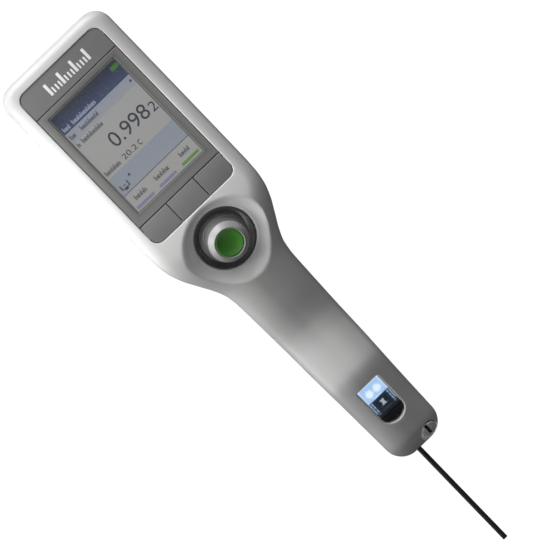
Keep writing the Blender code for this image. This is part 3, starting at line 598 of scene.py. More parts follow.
def board(name):
    """Solder mask with faint tracks under it."""
    look = Look(name, (0.02, 0.14, 0.07), 0.3, Coat_Weight=0.3)
    inputs = {"Scale": 420.0, "Vector": look.place}
    tracks = look.node("ShaderNodeTexVoronoi", inputs, feature="DISTANCE_TO_EDGE")
    away = tracks.outputs["Distance"]
    look.color_from(away, [(0.02, (0.035, 0.24, 0.12)), (0.06, (0.016, 0.11, 0.055))])
    look.bump((away, 0.2, 0.00003))
    return look.made


SHELL_LOOK = moulded("shell_plastic", (0.66, 0.66, 0.655), 0.42, vary=0.015)
PANEL_LOOK = moulded("panel_plastic", (0.178, 0.178, 0.178), 0.46, grain=1900.0, depth=0.45)
BUTTON_LOOK = moulded("button_plastic", (0.335, 0.335, 0.332), 0.36, depth=0.2)
GREEN_LOOK = moulded("green_insert", (0.075, 0.26, 0.038), 0.38, depth=0.25, vary=0.12)
WELL_LOOK = moulded("well_plastic", (0.060, 0.060, 0.061), 0.42, depth=0.3, vary=0.1)
BLACK_LOOK = moulded("black_plastic", (0.012, 0.013, 0.016), 0.28, depth=0.2, vary=0.15)
WHITE_LOOK = moulded("white_plastic", (0.78, 0.78, 0.77), 0.4, depth=0.2)
RUBBER_LOOK = rubber("black_rubber", (0.028, 0.028, 0.028), 0.75)
NEEDLE_LOOK = moulded("tube_polymer", (0.036, 0.036, 0.037), 0.40, grain=3000.0, vary=0.2)
STEEL_LOOK = metal("screw_steel", (0.62, 0.62, 0.62), 0.36, 0.7)
SATIN_LOOK = metal("satin_nickel", (0.92, 0.92, 0.92), 0.42, 0.15)
BRASS_LOOK = metal("turned_brass", (0.70, 0.52, 0.24), 0.28)
COPPER_LOOK = metal("copper_wire", (0.72, 0.34, 0.18), 0.32)
BOARD_LOOK = board("circuit_board")
CABLE_LOOK = moulded("amber_film", (0.58, 0.33, 0.08), 0.35, depth=0.1)
BATTERY_LOOK = moulded("battery_sleeve", (0.10, 0.11, 0.13), 0.3, depth=0.1)
CLEAR_LOOK = Look(
    "clear_plastic", (0.92, 0.96, 1.0), 0.06, Transmission_Weight=1.0, IOR=1.46
).made


def lcd(name, *stops):
    """Lit screen area. The stops are (s, sRGB colour), along the screen."""
    look = Look(name, (0.008, 0.008, 0.008), 0.6, Specular_IOR_Level=0.15)
    place = look.count("SUBTRACT", TOTAL_LENGTH / 2, look.apart()["Y"])
    grain = look.count("MULTIPLY_ADD", look.noise(900.0, 2.0), 0.003, place)
    start, stop = stops[0][0], stops[-1][0]
    colors = []
    for s, color in stops:
        colors.append(((s - start) / (stop - start), [(part / 255) ** 2.2 for part in color]))
    look.shine(look.ramp(look.span(grain, start, stop), colors), LCD_LIGHT)
    return look.made


def cell_glow():
    """Pale blue sheet, near white over the two lamps."""
    look = Look("lit_sheet", (0.25, 0.40, 0.65), 0.45)
    look.lie_in(CELL)
    axes = look.apart()
    across = look.count("SUBTRACT", look.count("ABSOLUTE", axes["X"]), LAMP_X)
    up = look.count("SUBTRACT", axes["Y"], LAMP_Y)
    square = look.count("MULTIPLY_ADD", up, up, look.count("MULTIPLY", across, across))
    uneven = look.count("MULTIPLY", look.noise(700.0), 0.0008)
    distance = look.count("ADD", look.count("SQRT", square), uneven)
    light = look.ramp(look.span(distance, 0.0, 0.007), [
        (0.0, (0.80, 0.94, 0.97)), (0.27, (0.78, 0.92, 0.96)), (0.40, (0.40, 0.58, 0.86)),
        (0.8, (0.30, 0.47, 0.78)),
    ])
    look.shine(light, 0.95)
    return look.made


def border_print_and_shade_look():
    """Printed border, with painted shade that darkens it towards the edge of the recessed lit
    screen.
    """
    look = Look("window_print_painted_shade", (0.15, 0.15, 0.15), 0.48)
    axes = look.apart()
    side = look.count("SUBTRACT", look.count("ABSOLUTE", axes["X"]), LCD_HALF)
    middle, half = along(sum(LCD_S) / 2), (LCD_S[1] - LCD_S[0]) / 2
    above = look.count("ABSOLUTE", look.count("SUBTRACT", axes["Y"], middle))
    away = look.count("MAXIMUM", side, look.count("SUBTRACT", above, half))
    away = look.count("MULTIPLY_ADD", look.noise(500.0, 2.0), 0.0003, away)
    # Painted shade: the colour darkens from the border's outer part towards the recessed screen.
    look.color_from(look.span(away, 0.0, 0.0048), [
        (0.0, (0.100, 0.102, 0.094)), (0.30, (0.137, 0.138, 0.131)), (0.62, (0.172, 0.173, 0.169)),
        (1.0, (0.187, 0.187, 0.184)),
    ])
    look.bump((look.noise(1900.0, 2.0, 0.6), 0.2, 0.00003))
    return look.made


def pane_look(name, color, alpha, rough):
    """Thin clear sheet: a faint film and a soft gloss."""
    look = Look(name, color, rough, Alpha=alpha, IOR=1.46)
    look.rough_from(look.noise(300.0), rough - 0.02, rough + 0.03)
    return look.made


# Darker margin round the lit screen: partly the screen's own dim edge, partly painted shade at the
# edge of the recessed screen.
LCD_SHADED_SURROUND = lcd("lcd_surround_painted_shade", (0.024, (86, 88, 84)), (0.087, (96, 98, 99)))
LCD_HEADER = lcd(
    "lcd_header", (0.0254, (62, 68, 64)), (0.0275, (42, 47, 60)), (0.0310, (46, 50, 76)),
    (0.0355, (50, 64, 92)),
)
LCD_ROW = lcd("lcd_row", (0.0355, (134, 139, 154)), (0.0414, (140, 143, 152)))
LCD_FIELD = lcd("lcd_field", (0.0414, (152, 151, 151)), (0.0656, (151, 151, 149)))
LCD_BAND = lcd("lcd_band", (0.0656, (129, 138, 149)), (0.0762, (134, 140, 150)))
LCD_INK = lcd("lcd_ink", (0.03, (42, 45, 62)), (0.09, (40, 42, 58)))
LCD_LINE = lcd("lcd_line", (0.03, (34, 44, 74)), (0.04, (38, 46, 76)))
LCD_PALE = lcd("lcd_pale", (0.03, (142, 152, 178)), (0.04, (150, 158, 182)))
LCD_GREEN = lcd("lcd_green", (0.025, (52, 108, 46)), (0.090, (92, 128, 66)))
LCD_PURPLE = lcd("lcd_purple", (0.083, (118, 108, 140)), (0.086, (124, 114, 146)))
GLASS_LOOK = pane_look("window_glass", (0.30, 0.31, 0.32), 0.05, 0.10)
PANE_LOOK = pane_look("cell_pane", (0.5, 0.55, 0.6), 0.03, 0.08)
BORDER_PRINT_SHADE_LOOK = border_print_and_shade_look()
PRINT_LOOK = moulded("white_print", (0.86, 0.86, 0.86), 0.5, depth=0.05, wave=0.05)
# The barrel's darker grey is partly its own plastic and partly painted shade of the well round it.
BARREL_SHADED_LOOK = moulded("barrel_plastic_painted_shade", (0.105, 0.105, 0.107), 0.40, depth=0.2, vary=0.08)
# Painted shade: black glossy plate under the cell pane that stands for the dark inside of the cell.
GLOSS_SHADE_LOOK = moulded("gloss_black_painted_shade", (0.003, 0.003, 0.004), 0.16, depth=0.03, wave=0.05, vary=0.2)
CELL_LOOK = moulded("cell_black", (0.055, 0.078, 0.120), 0.34, depth=0.2, vary=0.3)
GLOW_LOOK = cell_glow()
RIM_LOOK = glowing("lit_rim", (0.5, 0.6, 0.8), (0.66, 0.82, 1.0), 0.85, vary=0.3, scale=900.0)
# Painted light: dashes and faint lines on the black cell block glow with the lamps' light painted
# on them.
DASH_LOOK = glowing("dash_painted_glow", (0.3, 0.4, 0.6), (0.40, 0.58, 0.90), 0.75, vary=0.5, scale=900.0)
FAINT_LOOK = glowing("line_painted_glow", (0.1, 0.15, 0.25), (0.06, 0.10, 0.18), 0.8, vary=0.3)
# Painted reflection: a pale glowing hourglass on the cell block stands for a reflection.
REFLECTION_GLOW_LOOK = glowing("painted_reflection_glow", (0.5, 0.5, 0.55), (0.45, 0.52, 0.60), 0.8, vary=0.4, scale=1200.0)
LAMP_LOOK = glowing("lamp_lens", (0.8, 0.9, 1.0), (0.80, 0.92, 1.0), 1.2)


def dress(obj, look, node, body="housing"):
    """Material, replaced node and body of a piece."""
    if look is not None:
        obj.data.materials.clear()
        obj.data.materials.append(look)
    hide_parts(node)
    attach(obj, body)


# Shells


def following(outline_at, height_at, fillet, depth, matrix=None):
    """Cutter through an opening whose upper edge is rounded and follows the surface."""
    rings = [[(x, y, height_at(x, y) + 0.004) for x, y in outline_at(fillet * 1.02)]]
    for s, c in quarter(5):
        out, down = fillet * (1 - s), fillet * (1 - c)
        rings.append([(x, y, height_at(x, y) - down) for x, y in outline_at(out)])
    rings.append([(x, y, depth) for x, y in outline_at(0.0)])
    return loft("cutter", rings, matrix)


def under(outline_at, surface, fillet, depth):
    """Cutter into the flat back, with a rounded edge."""
    rings = [[(x, y, -0.006) for x, y in outline_at(fillet)]]
    for s, c in quarter(3):
        z = surface + fillet * (1 - c)
        rings.append([(x, y, z) for x, y in outline_at(fillet * (1 - s))])
    rings.append([(x, y, depth) for x, y in outline_at(0.0)])
    return loft("under", rings)


def parting_prism(side):
    """Everything above the parting line (side 1) or below it (side -1)."""
    count = 120
    stops = [-0.005, *(BODY_LENGTH * i / count for i in range(count + 1)), BODY_LENGTH + 0.005]
    edge = [(along(s), smooth(PARTING, s) - side * GAP / 2) for s in stops]
    far = 0.060 if side > 0 else -0.020
    outline = [*edge, (edge[-1][0], far), (edge[0][0], far)]
    return loft("prism", [[(x, y, z) for y, z in outline] for x in (-0.05, 0.05)])


def panel_outline(grow):
    """Outline of the panel's recess."""
    top, low = PANEL_TOP_CORNER + GAP + grow, PANEL_LOW_CORNER + GAP + grow
    half = PANEL_HALF + GAP + grow
    y0, y1 = along(PANEL_S[1]) - GAP - grow, along(PANEL_S[0]) + GAP + grow
    return rounded_rectangle(-half, half, y0, y1, (low, low, top, top))


def cell_outline(grow):
    """Cell window: square at the head side, half an ellipse at the tip side."""
    half = CELL_HALF + grow
    reach = (CELL_S[1] - CELL_S[0]) / 2
    top, low = reach + grow, -reach + CELL_ROUND
    corner = 0.0005 + max(0.0, grow)
    outline = []
    for cx, first in ((half - corner, 0), (-half + corner, 90)):
        for i in range(5):
            turn = math.radians(first + 22.5 * i)
            outline.append((cx + corner * math.cos(turn), top - corner + corner * math.sin(turn)))
    for i in range(29):
        turn = math.pi * (1 + i / 28)
        outline.append((half * math.cos(turn), low + (CELL_ROUND + grow) * math.sin(turn)))
    return outline


def cell_height(x, y):
    """Height of the body's surface above the cell's frame."""
    z = 0.0
    for _ in range(3):
        world = CELL @ Vector((x, y, z))
        z += (front_height(world.x, TOTAL_LENGTH / 2 - world.y) - world.z) / math.cos(CELL_TILT)
    return z


def body_loft(name, wall, front_wall, ends, head, dish, grip, front, side, back):
    """Body moved in by its walls. The other values are spacings and counts of points."""
    rings = []
    for s in stations(wall, ends, head, dish, grip):
        ring = fine_ring(s, wall, front_wall, front, side, back)
        if DISH_S[0] < s < DISH_S[1]:
            level = smooth(PARTING, s) + DISH_LEVEL
            ring = [dish_point(p, wall) if p.z > level else p for p in ring]
        rings.append(ring)
    return loft(name, rings, sharp=35)


def shells():
    """Front and rear housing, hollow, with their openings and seats."""
    cavity = body_loft("cavity", WALL, FRONT_WALL, 5, 0.02, 0.0016, 0.006, 20, 2, 8)
    boss = [(0, -0.01), (BOSS_RADIUS, -0.01), (BOSS_RADIUS, 0.05), (0, 0.05)]
    for x, s in CASE_SCREWS:
        cut(cavity, turned("boss", boss, Matrix.Translation((x, along(s), 0)), 40))
    lug = [(0, -0.0057), (LUG_RADIUS, -0.0057), (LUG_RADIUS, 0.004), (0, 0.004)]
    cut(cavity, turned("lug", lug, SCREW, 48))
    front = body_loft("front_housing", 0.0, 0.0, 10, 0.008, 0.0008, 0.0022, 42, 3, 14)
    cut(front, cavity)
    rear = placed("rear_housing", front.data.copy())
    rear.data.name = "rear_housing"
    cut(front, parting_prism(-1))
    cut(rear, parting_prism(1))

    cut(front, following(panel_outline, lambda x, y: PANEL_RIM, 0.00045, 0.030))
    wide = HOLE_RADIUS + HOLE_EDGE
    hole = [(0, 0.010), (wide, 0.010), (wide, -DISH_DEPTH + 0.0002)]
    hole += [(wide - HOLE_EDGE * s, -DISH_DEPTH - HOLE_EDGE * (1 - c)) for s, c in quarter(5)[1:]]
    hole += [(HOLE_RADIUS, -0.0300), (0, -0.0300)]
    cut(front, turned("hole", hole, PUMP, 128))
    cut(front, following(lambda g: cell_outline(GAP + g), cell_height, 0.0004, -0.006, CELL))
    seat = mm((0, 8), (6, 8), (5.3, 0.6), (5.1, -0.3), (5.1, -3), (1.8, -3), (1.8, -8.5), (0, -8.5))
    cut(front, turned("seat", seat, SCREW, 64))
    start, stop = -along(BODY_LENGTH) - 0.005, -along(BODY_LENGTH)
    outlet = [
        (0, start), (0.0016, start), (0.0016, stop - 0.0004), (0.0020, stop),
        (0.0020, stop + 0.004), (0, stop + 0.004),
    ]
    cut(front, turned("outlet", outlet, TUBE, 48))
    dress(front, SHELL_LOOK, "front_shell")

    cut(rear, under(cover_outline(GAP), 0.0020, 0.0003, 0.0060))
    for x, s in CASE_SCREWS:
        low = smooth(BACK, s)
        profile = mm(
            (0, -9), (3.4, -9), (3.4, 0), (2.9, 0.5), (2.9, 2.8), (1.4, 2.8), (1.4, 16), (0, 16),
        )
        hole = turned("screw_hole", profile, Matrix.Translation((x, along(s), low)), 40)
        cut(front, hole, keep=True)
        cut(rear, hole)
    for _, _, x, half, stretch, corner, surface, depth in PADS:
        seat = block(x - half, x + half, *stretch, corner, GAP, 8)
        cut(rear, under(seat, surface, 0.0002, depth))
    dress(rear, SHELL_LOOK, "rear_shell")


def cover_outline(spare):
    """Outline of the battery cover, or of its bay with room to spare."""
    return block(-COVER_HALF, COVER_HALF, *COVER_S, COVER_CORNER, spare, 8)


# Panel and screen


def panel_plate(x0, x1, s0, s1, corners):
    """Outline of one panel piece. Corners are lower left, lower right, upper right, upper left."""
    def outline_at(g):
        g -= PANEL_JOINT
        radii = [max(0.0002, radius + g) for radius in corners]
        return rounded_rectangle(x0 - g, x1 + g, along(s1) - g, along(s0) + g, radii)
    return outline_at


def title_plate():
    corner = PANEL_TOP_CORNER
    outline = panel_plate(
        -PANEL_HALF, PANEL_HALF, PANEL_S[0], WINDOW_S[0] - GAP / 2, (0.0004, 0.0004, corner, corner)
    )
    pieces = [slab("title", outline, PANEL_LOW, PANEL_TOP, PANEL_EDGE, PANEL_LOOK)]
    for i in range(TICKS):
        x = TICK_X[0] + (TICK_X[1] - TICK_X[0]) * i / (TICKS - 1)
        top = TICK_S[0] if i % 4 == 0 else (TICK_S[0] + TICK_S[1]) / 2
        half = 0.00075 if i % 4 == 0 else 0.00045
        mark = block(x - half, x + half, top, TICK_S[1], 0.0003)
        low, high = PANEL_TOP - 0.0002, PANEL_TOP + 0.00003
        pieces.append(slab("tick", mark, low, high, 0.00002, PRINT_LOOK))
    dress(join("title_strip", pieces), None, "title_plate")


def display_window():
    s0, s1 = WINDOW_S[0] + GAP / 2, WINDOW_S[1] - GAP / 2
    outline = panel_plate(-PANEL_HALF, PANEL_HALF, s0, s1, [0.0004] * 4)
    border = slab("border", outline, PANEL_LOW, PANEL_TOP, PANEL_EDGE, BORDER_PRINT_SHADE_LOOK)
    view = block(-LCD_HALF, LCD_HALF, *LCD_S, 0.0006)
    levels = (
        (PANEL_TOP + 0.001, 0.0006), (PANEL_TOP + 0.00001, 0.0004), (PANEL_TOP - 0.0005, 0.0),
        (PANEL_LOW - 0.001, 0.0),
    )
    cut(border, loft("view", [[(x, y, z) for x, y in view(grow)] for z, grow in levels]))
    pane = slab("pane", view, PANEL_LOW, PANEL_TOP - 0.0005, 0.0001, GLASS_LOOK)
    dress(join("screen_window", [border, pane]), None, "display_window")


def soft_keys():
    low, s0, s1 = PANEL_LOW_CORNER, WINDOW_S[1] + GAP / 2, PANEL_S[1]
    keys = (
        ("left", -PANEL_HALF, -KEY_DIVIDER - GAP / 2, (low, 0.0004, 0.0004, 0.0004)),
        ("middle", -KEY_DIVIDER + GAP / 2, KEY_DIVIDER - GAP / 2, (0.0004,) * 4),
        ("right", KEY_DIVIDER + GAP / 2, PANEL_HALF, (0.0004, low, 0.0004, 0.0004)),
    )
    for side, x0, x1, corners in keys:
        outline = panel_plate(x0, x1, s0, s1, corners)
        cap = slab("cap", outline, KEY_LOW, PANEL_TOP, 0.0003, PANEL_LOOK)
        x, y = (x0 + x1) / 2, along(KEY_S)
        low, high = (x - 0.003, y - 0.0018, 0.0349), (x + 0.003, y + 0.0018, KEY_LOW)
        # The stem is black partly as its own colour and partly as painted shade seen through the
        # gaps between the keys.
        stem = tinted(box("stem", low, high, edge=0.0002), BLACK_LOOK)
        made = join(f"key_{side}", [cap, stem])
        dress(made, None, f"soft_key_{side}", f"soft_key_{side}_body")


def numerals(text, x0, x1, s0, s1, level, look):
    """Digits that fill a box on the screen."""
    curve = bpy.data.curves.new("digits", "FONT")
    curve.body = text
    curve.extrude = 0.5
    drawn = placed("digits", curve)
    graph = bpy.context.evaluated_depsgraph_get()
    mesh = bpy.data.meshes.new_from_object(drawn.evaluated_get(graph))
    bpy.data.objects.remove(drawn)
    bpy.data.curves.remove(curve)
    xs, ys = [v.co.x for v in mesh.vertices], [v.co.y for v in mesh.vertices]
    wide = (x1 - x0) / (max(xs) - min(xs))
    tall = (s1 - s0) / (max(ys) - min(ys))
    for v in mesh.vertices:
        x, y = x0 + (v.co.x - min(xs)) * wide, along(s1) + (v.co.y - min(ys)) * tall
        v.co = (x, y, level + v.co.z * INK_DEEP)
    mesh.materials.clear()
    return tinted(placed("digits", mesh), look)


def word(x0, x1, s0, s1, level, look):
    """Row of fine plain strokes that stands for a line of writing."""
    count = max(3, round((x1 - x0) / STROKE_STEP))
    step = (x1 - x0) / count
    made = []
    for i in range(count):
        start = x0 + step * i
        top = s0 + (s1 - s0) * STROKE_TOPS[i % 7]
        stop = start + step * STROKE_WIDTHS[i % 7]
        made.append(area(start, stop, top, s1, level, look, 0.00005))
    return made


def area(x0, x1, s0, s1, level, look, corner=0.0):
    """Thin patch of one colour on the screen."""
    return slab("area", block(x0, x1, s0, s1, corner), level, level + INK_DEEP, 0.00001, look)


def screen_picture():
    """Lit areas, digits and marks, in thin layers on the glass of the screen."""
    a, b, c = (LCD_TOP + INK_STEP * i for i in range(3))
    left, right = -0.0212, 0.0212
    made = [
        # Darker margin under the lit areas, partly painted shade at the screen's recessed edge.
        area(-LCD_HALF, LCD_HALF, *LCD_S, LCD_TOP - 0.0008, LCD_SHADED_SURROUND),
        area(left, right, 0.0254, 0.0355, a, LCD_HEADER),
        area(left, right, 0.0355, 0.0414, a, LCD_ROW),
        area(left, right, 0.0414, 0.0656, a, LCD_FIELD),
        area(left, right, 0.0656, 0.0762, a, LCD_BAND),
        area(left, right, 0.0762, 0.0765, b, LCD_INK),
        area(left, right, 0.0764, 0.0864, a, LCD_FIELD),
        area(left, right, 0.0353, 0.0356, b, LCD_LINE),
        area(0.0163, 0.0206, 0.0272, 0.0295, b, LCD_GREEN, 0.0004),
        area(0.0206, 0.0213, 0.0278, 0.0289, b, LCD_GREEN, 0.0002),
        area(-0.0203, -0.0093, 0.0841, 0.0856, b, LCD_PURPLE, 0.0003),
        area(-0.0055, 0.0054, 0.0841, 0.0856, b, LCD_PURPLE, 0.0003),
        area(0.0095, 0.0202, 0.0841, 0.0856, b, LCD_GREEN, 0.0003),
    ]
    for edges in mm((-20.3, -16, 32.2, 34.7), (-14.5, 0.7, 32.2, 34.7)):
        made += word(*edges, b, LCD_PALE)
    for edges in mm(
        (-20.3, -16.8, 37.1, 39.6), (-13.5, -2, 37.1, 39.6), (-20.3, -18.8, 41.9, 44.6),
        (-17.2, -4, 41.9, 44.6), (-20.3, -10.8, 61.3, 64), (-17.9, -10.5, 79.1, 81.7),
        (-4.6, 4.2, 79.1, 81.7), (11.6, 17.8, 79.1, 81.7),
    ):
        made += word(*edges, b, LCD_INK)
    made += [
        numerals("0.998", -0.0076, 0.0160, 0.0494, 0.0571, b, LCD_INK),
        numerals("2", 0.0172, 0.0207, 0.0520, 0.0571, b, LCD_INK),
        numerals("20.2", -0.0086, 0.0002, 0.0612, 0.0640, b, LCD_INK),
        area(0.0016, 0.0036, 0.0612, 0.0640, b, LCD_INK, 0.0009),
        area(0.0020, 0.0040, 0.0617, 0.0635, c, LCD_FIELD, 0.0006),
    ]
    arrow = [(0.0192, along(0.0394)), (0.0206, along(0.0384)), (0.0192, along(0.0374))]
    caret = [(-0.0129, along(0.0707)), (-0.0111, along(0.0707)), (-0.0120, along(0.0693))]
    for outline in (arrow, caret):
        made.append(tinted(plate("mark", outline, b, b + INK_DEEP), LCD_INK))
    for edges in mm(
        (-19.7, -19.1, 71.2, 74.1), (-15.3, -14.7, 71.2, 74.1), (-19.7, -14.7, 73.6, 74.1),
        (-18.1, -16.3, 74.1, 75), (-18.1, -16.3, 72.2, 72.6),
    ):
        made.append(area(*edges, b, LCD_INK, 0.0001))
    dress(join("screen_picture", made), None, "lcd_glass")


# Pump button


def pump():
    barrel = mm(
        (9.3, 1.9), (10.3, 1.9), (10.5, 1.4), (10.7, -0.4), (11, -2.8), (10.5, -3), (10.5, -3.4),
        (11.4, -3.6), (11.6, -4), (11.7, -6), (11.7, -6.4), (11.1, -6.6), (11.1, -7), (11.8, -7.2),
        (12, -7.6), (12, -9.4), (11, -9.4), (9.3, -0.4),
    )
    # Barrel below the crown, in a darker grey that partly carries painted shade of the well.
    lower = tinted(turned("barrel", barrel, PUMP, 112, 60), BARREL_SHADED_LOOK)
    crown = rounded(mm(
        (0, 3), (7.1, 3), (7.1, 5), (7.4, 5.7), (7.9, 5.6), (9.9, 3), (10.2, 2.5), (10.2, 0.5),
        (0, 0.5),
    ), 0.0004)
    upper = tinted(turned("crown", crown, PUMP, 112, 50), BUTTON_LOOK)
    body = "pump_button_body"
    dress(join("plunger", [upper, lower]), None, "pump_button", body)
    dip = mm((0, 4.1), (1.8, 4.15), (3.6, 4.4), (5.2, 4.9), (6.2, 5.3))
    edge = mm((6.6, 5.35), (6.9, 5.1), (6.95, 4.6), (6.95, 3.3), (0, 3.3))
    cap = turned("thumb_insert", rounded([*dip, *edge], 0.0003), PUMP, 112, 50)
    dress(cap, GREEN_LOOK, "button_cap", body)
    well = rounded(mm(
        (14.6, -5), (15.4, -5), (15.4, -17.2), (7.9, -17.2), (7.9, -16), (12.8, -16), (14, -15),
        (14.6, -13),
    ), 0.0002)
    cup = turned("button_cup", well, PUMP, 112, 50)
    dress(cup, WELL_LOOK, "button_well")
    count, start, stop, turns, radius = 108, -0.0152, -0.0002, 4.5, 0.00845
    coil = []
    for i in range(count + 1):
        turn = math.tau * turns * i / count
        height = start + (stop - start) * i / count
        coil.append((radius * math.cos(turn), radius * math.sin(turn), height))
    spring = tube("pump_spring", coil, 0.0004, 10, PUMP)
    dress(spring, STEEL_LOOK, "return_spring")
    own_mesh(spring)


# Measuring cell and tip


def spot(x0, x1, y0, y1, corner):
    """Outline that can grow, in the cell's frame."""
    return lambda g: rounded_rectangle(x0 - g, x1 + g, y0 - g, y1 + g, [corner] * 4, 4)


def cell_parts():
    reach = (CELL_S[1] - CELL_S[0]) / 2
    side = CELL_HALF - 0.0002
    # Painted shade: a black glossy plate under the tip end of the pane stands for the dark inside
    # of the cell.
    curved = [p for p in cell_outline(-0.0002) if p[1] < CELL_SHADE_LIP]
    shade_lip = plate("shade_lip", [(-side, CELL_SHADE_LIP), *curved, (side, CELL_SHADE_LIP)], -0.0031, -0.0029, CELL)
    pane = slab("pane", cell_outline, -0.0028, -0.0013, 0.0002, PANE_LOOK, CELL)
    cover = join("cell_cover", [pane, tinted(shade_lip, GLOSS_SHADE_LOOK)])
    dress(cover, None, "cell_window")

    whole = spot(-0.0064, 0.0064, 0.0030, reach - 0.0002, 0.0004)
    made = [slab("sheet", whole, -0.0046, -0.0033, 0.0002, GLOW_LOOK, CELL)]
    for edges in mm(
        (-6.4, -5.7, 3, 11.2), (5.7, 6.4, 3, 11.2), (-6.4, 6.4, 10.5, 11.2), (-2.6, 2.6, 3.1, 3.6),
    ):
        made.append(slab("rim", spot(*edges, 0.0002), -0.0033, -0.0031, 0.0001, RIM_LOOK, CELL))
    dress(join("light_sheet", made), None, "light_diffuser")
    dome = rounded(mm(
        (0, -4.7), (0.8, -4.8), (1.3, -5.3), (1.5, -6), (1.5, -6.6), (0, -6.6),
    ), 0.0003)
    for name, x in (("left", -LAMP_X), ("right", LAMP_X)):
        led = turned(f"lamp_{name}", dome, CELL @ Matrix.Translation((x, LAMP_Y, 0)), 32, 50)
        dress(led, LAMP_LOOK, f"led_{name}")
    cell_block()
    leg, level, bend, end = 0.0022, -0.0058, -0.0017, -0.0128
    turns = [math.pi * i / 20 for i in range(21)]
    loop = [(leg * math.cos(t), bend + leg * math.sin(t), level) for t in turns]
    loop = [(leg, end, level), *loop, (-leg, end, level)]
    dress(tube("glass_loop", loop, 0.0008, 20, CELL), CLEAR_LOOK, "cell_tube")


def cell_block():
    """Black block with its pocket, two small screws, dashes along its sides and lines across it
    that glow with painted lamp light, and a pale glowing hourglass that is a painted reflection.
    """
    outline = spot(-0.0064, 0.0064, -0.0110, 0.0027, 0.0006)
    core = slab("block", outline, -0.0100, -0.0045, 0.0002, CELL_LOOK, CELL)
    pocket = rounded_rectangle(-0.0042, 0.0042, -0.0120, 0.0017, [0.0008] * 4, 4)
    cut(core, plate("pocket", pocket, -0.0092, -0.0020, CELL))
    outline = spot(-0.0040, 0.0040, -0.0062, 0.0026, 0.0011)
    made = [core, slab("bridge", outline, -0.0045, -0.0040, 0.0003, CELL_LOOK, CELL)]
    head = mm((0, -4), (0.6, -4), (0.8, -4.3), (0.8, -5), (0, -5))
    # Painted light: glowing dashes along the sides of the block.
    for side in (-1, 1):
        for x, y0, y1, half in mm(
            (4.9, 0.8, 2.4, 0.34), (4.9, -1, 0.3, 0.32), (4.9, -3.1, -1.5, 0.3),
            (6, -3.4, 2.4, 0.26),
        ):
            low, high = sorted((side * (x - half), side * (x + half)))
            outline = spot(low, high, y0, y1, 0.0001)
            made.append(slab("dash", outline, -0.0045, -0.0041, 0.00004, DASH_LOOK, CELL))
        at = CELL @ Matrix.Translation((side * 0.0050, -0.0042, 0))
        made.append(tinted(turned("pin", head, at, 24), STEEL_LOOK))
    # Painted light: faint glowing lines across the block.
    for y, half in ((-0.0021, 0.0026), (-0.0041, 0.0030)):
        outline = spot(-half, half, y - 0.00012, y + 0.00012, 0.00005)
        made.append(slab("line", outline, -0.0041, -0.0039, 0.00003, FAINT_LOOK, CELL))
    # Painted reflection: the pale glowing hourglass on the block.
    waist = mm(
        (-1.3, -2), (1.3, -2), (0.8, -0.9), (0.8, -0.3), (1.3, 0.8), (-1.3, 0.8), (-0.8, -0.3),
        (-0.8, -0.9),
    )
    made.append(tinted(plate("reflection_mark", waist, -0.0040, -0.0038, CELL), REFLECTION_GLOW_LOOK))
    dress(join("cell_core", made), None, "cell_block")


def tip_parts():
    head = rounded(mm(
        (0, -0.3), (2.2, -0.4), (3.8, -0.8), (4.5, -1.3), (4.7, -1.8), (4.7, -2.7), (1.5, -2.7),
    ), 0.0004)
    thread = []
    for i in range(11):
        height = -0.0030 - 0.00046 * i
        thread += [(0.0015, height), (0.0012, height - 0.00023)]
    head += [*thread, (0.0010, -0.0082), (0, -0.0082)]
    screw = tinted(turned("tube_fixing_screw", head, SCREW, 64, 30), SATIN_LOOK)
    cut(screw, box("slot", (-0.0008, -0.006, -0.0018), (0.0008, 0.006, 0.001), SCREW, 0.0001))
    # Painted shade: a black sheet at the bottom of the slot and a black ring in the gap round the
    # head stand for the shade in them.
    recess = box("recess", (-0.0008, -0.0043, -0.0019), (0.0008, 0.0043, -0.0017), SCREW)
    gap_shade = mm((4.6, -2.8), (4.6, -1.9), (4.9, -2.1), (4.9, -2.8))
    shade_pieces = [recess, turned("gap_shade", gap_shade, SCREW, 64, 30)]
    made = join("tube_fixing_screw", [screw, *(tinted(piece, BLACK_LOOK) for piece in shade_pieces)])
    dress(made, None, "fixing_screw", "tube_screw")
    near, far = -along(0.2510), -along(TOTAL_LENGTH)
    pipe = [
        (0.0009, far), (0.0011, far), (0.00125, far - 0.0002), (TUBE_RADIUS, far - 0.0005),
        (TUBE_RADIUS, near), (0.0008, near), (0.0008, far - 0.0002),
    ]
    dress(turned("probe", pipe, TUBE, 40, 50), NEEDLE_LOOK, "sampling_tube", "tube_body")


# Back


def cross_screw(name, place, profile, node):
    """Turned screw with its head down and a cross recess."""
    screw = turned(name, rounded(profile, 0.0002), place, 40, 35)
    long, half, deep = 0.0013, 0.00032, 0.0009
    for x, y in ((long, half), (half, long)):
        cut(screw, box("cross", (-x, -y, -0.004), (x, y, deep), place, 0.00006))
    dress(screw, STEEL_LOOK, node)


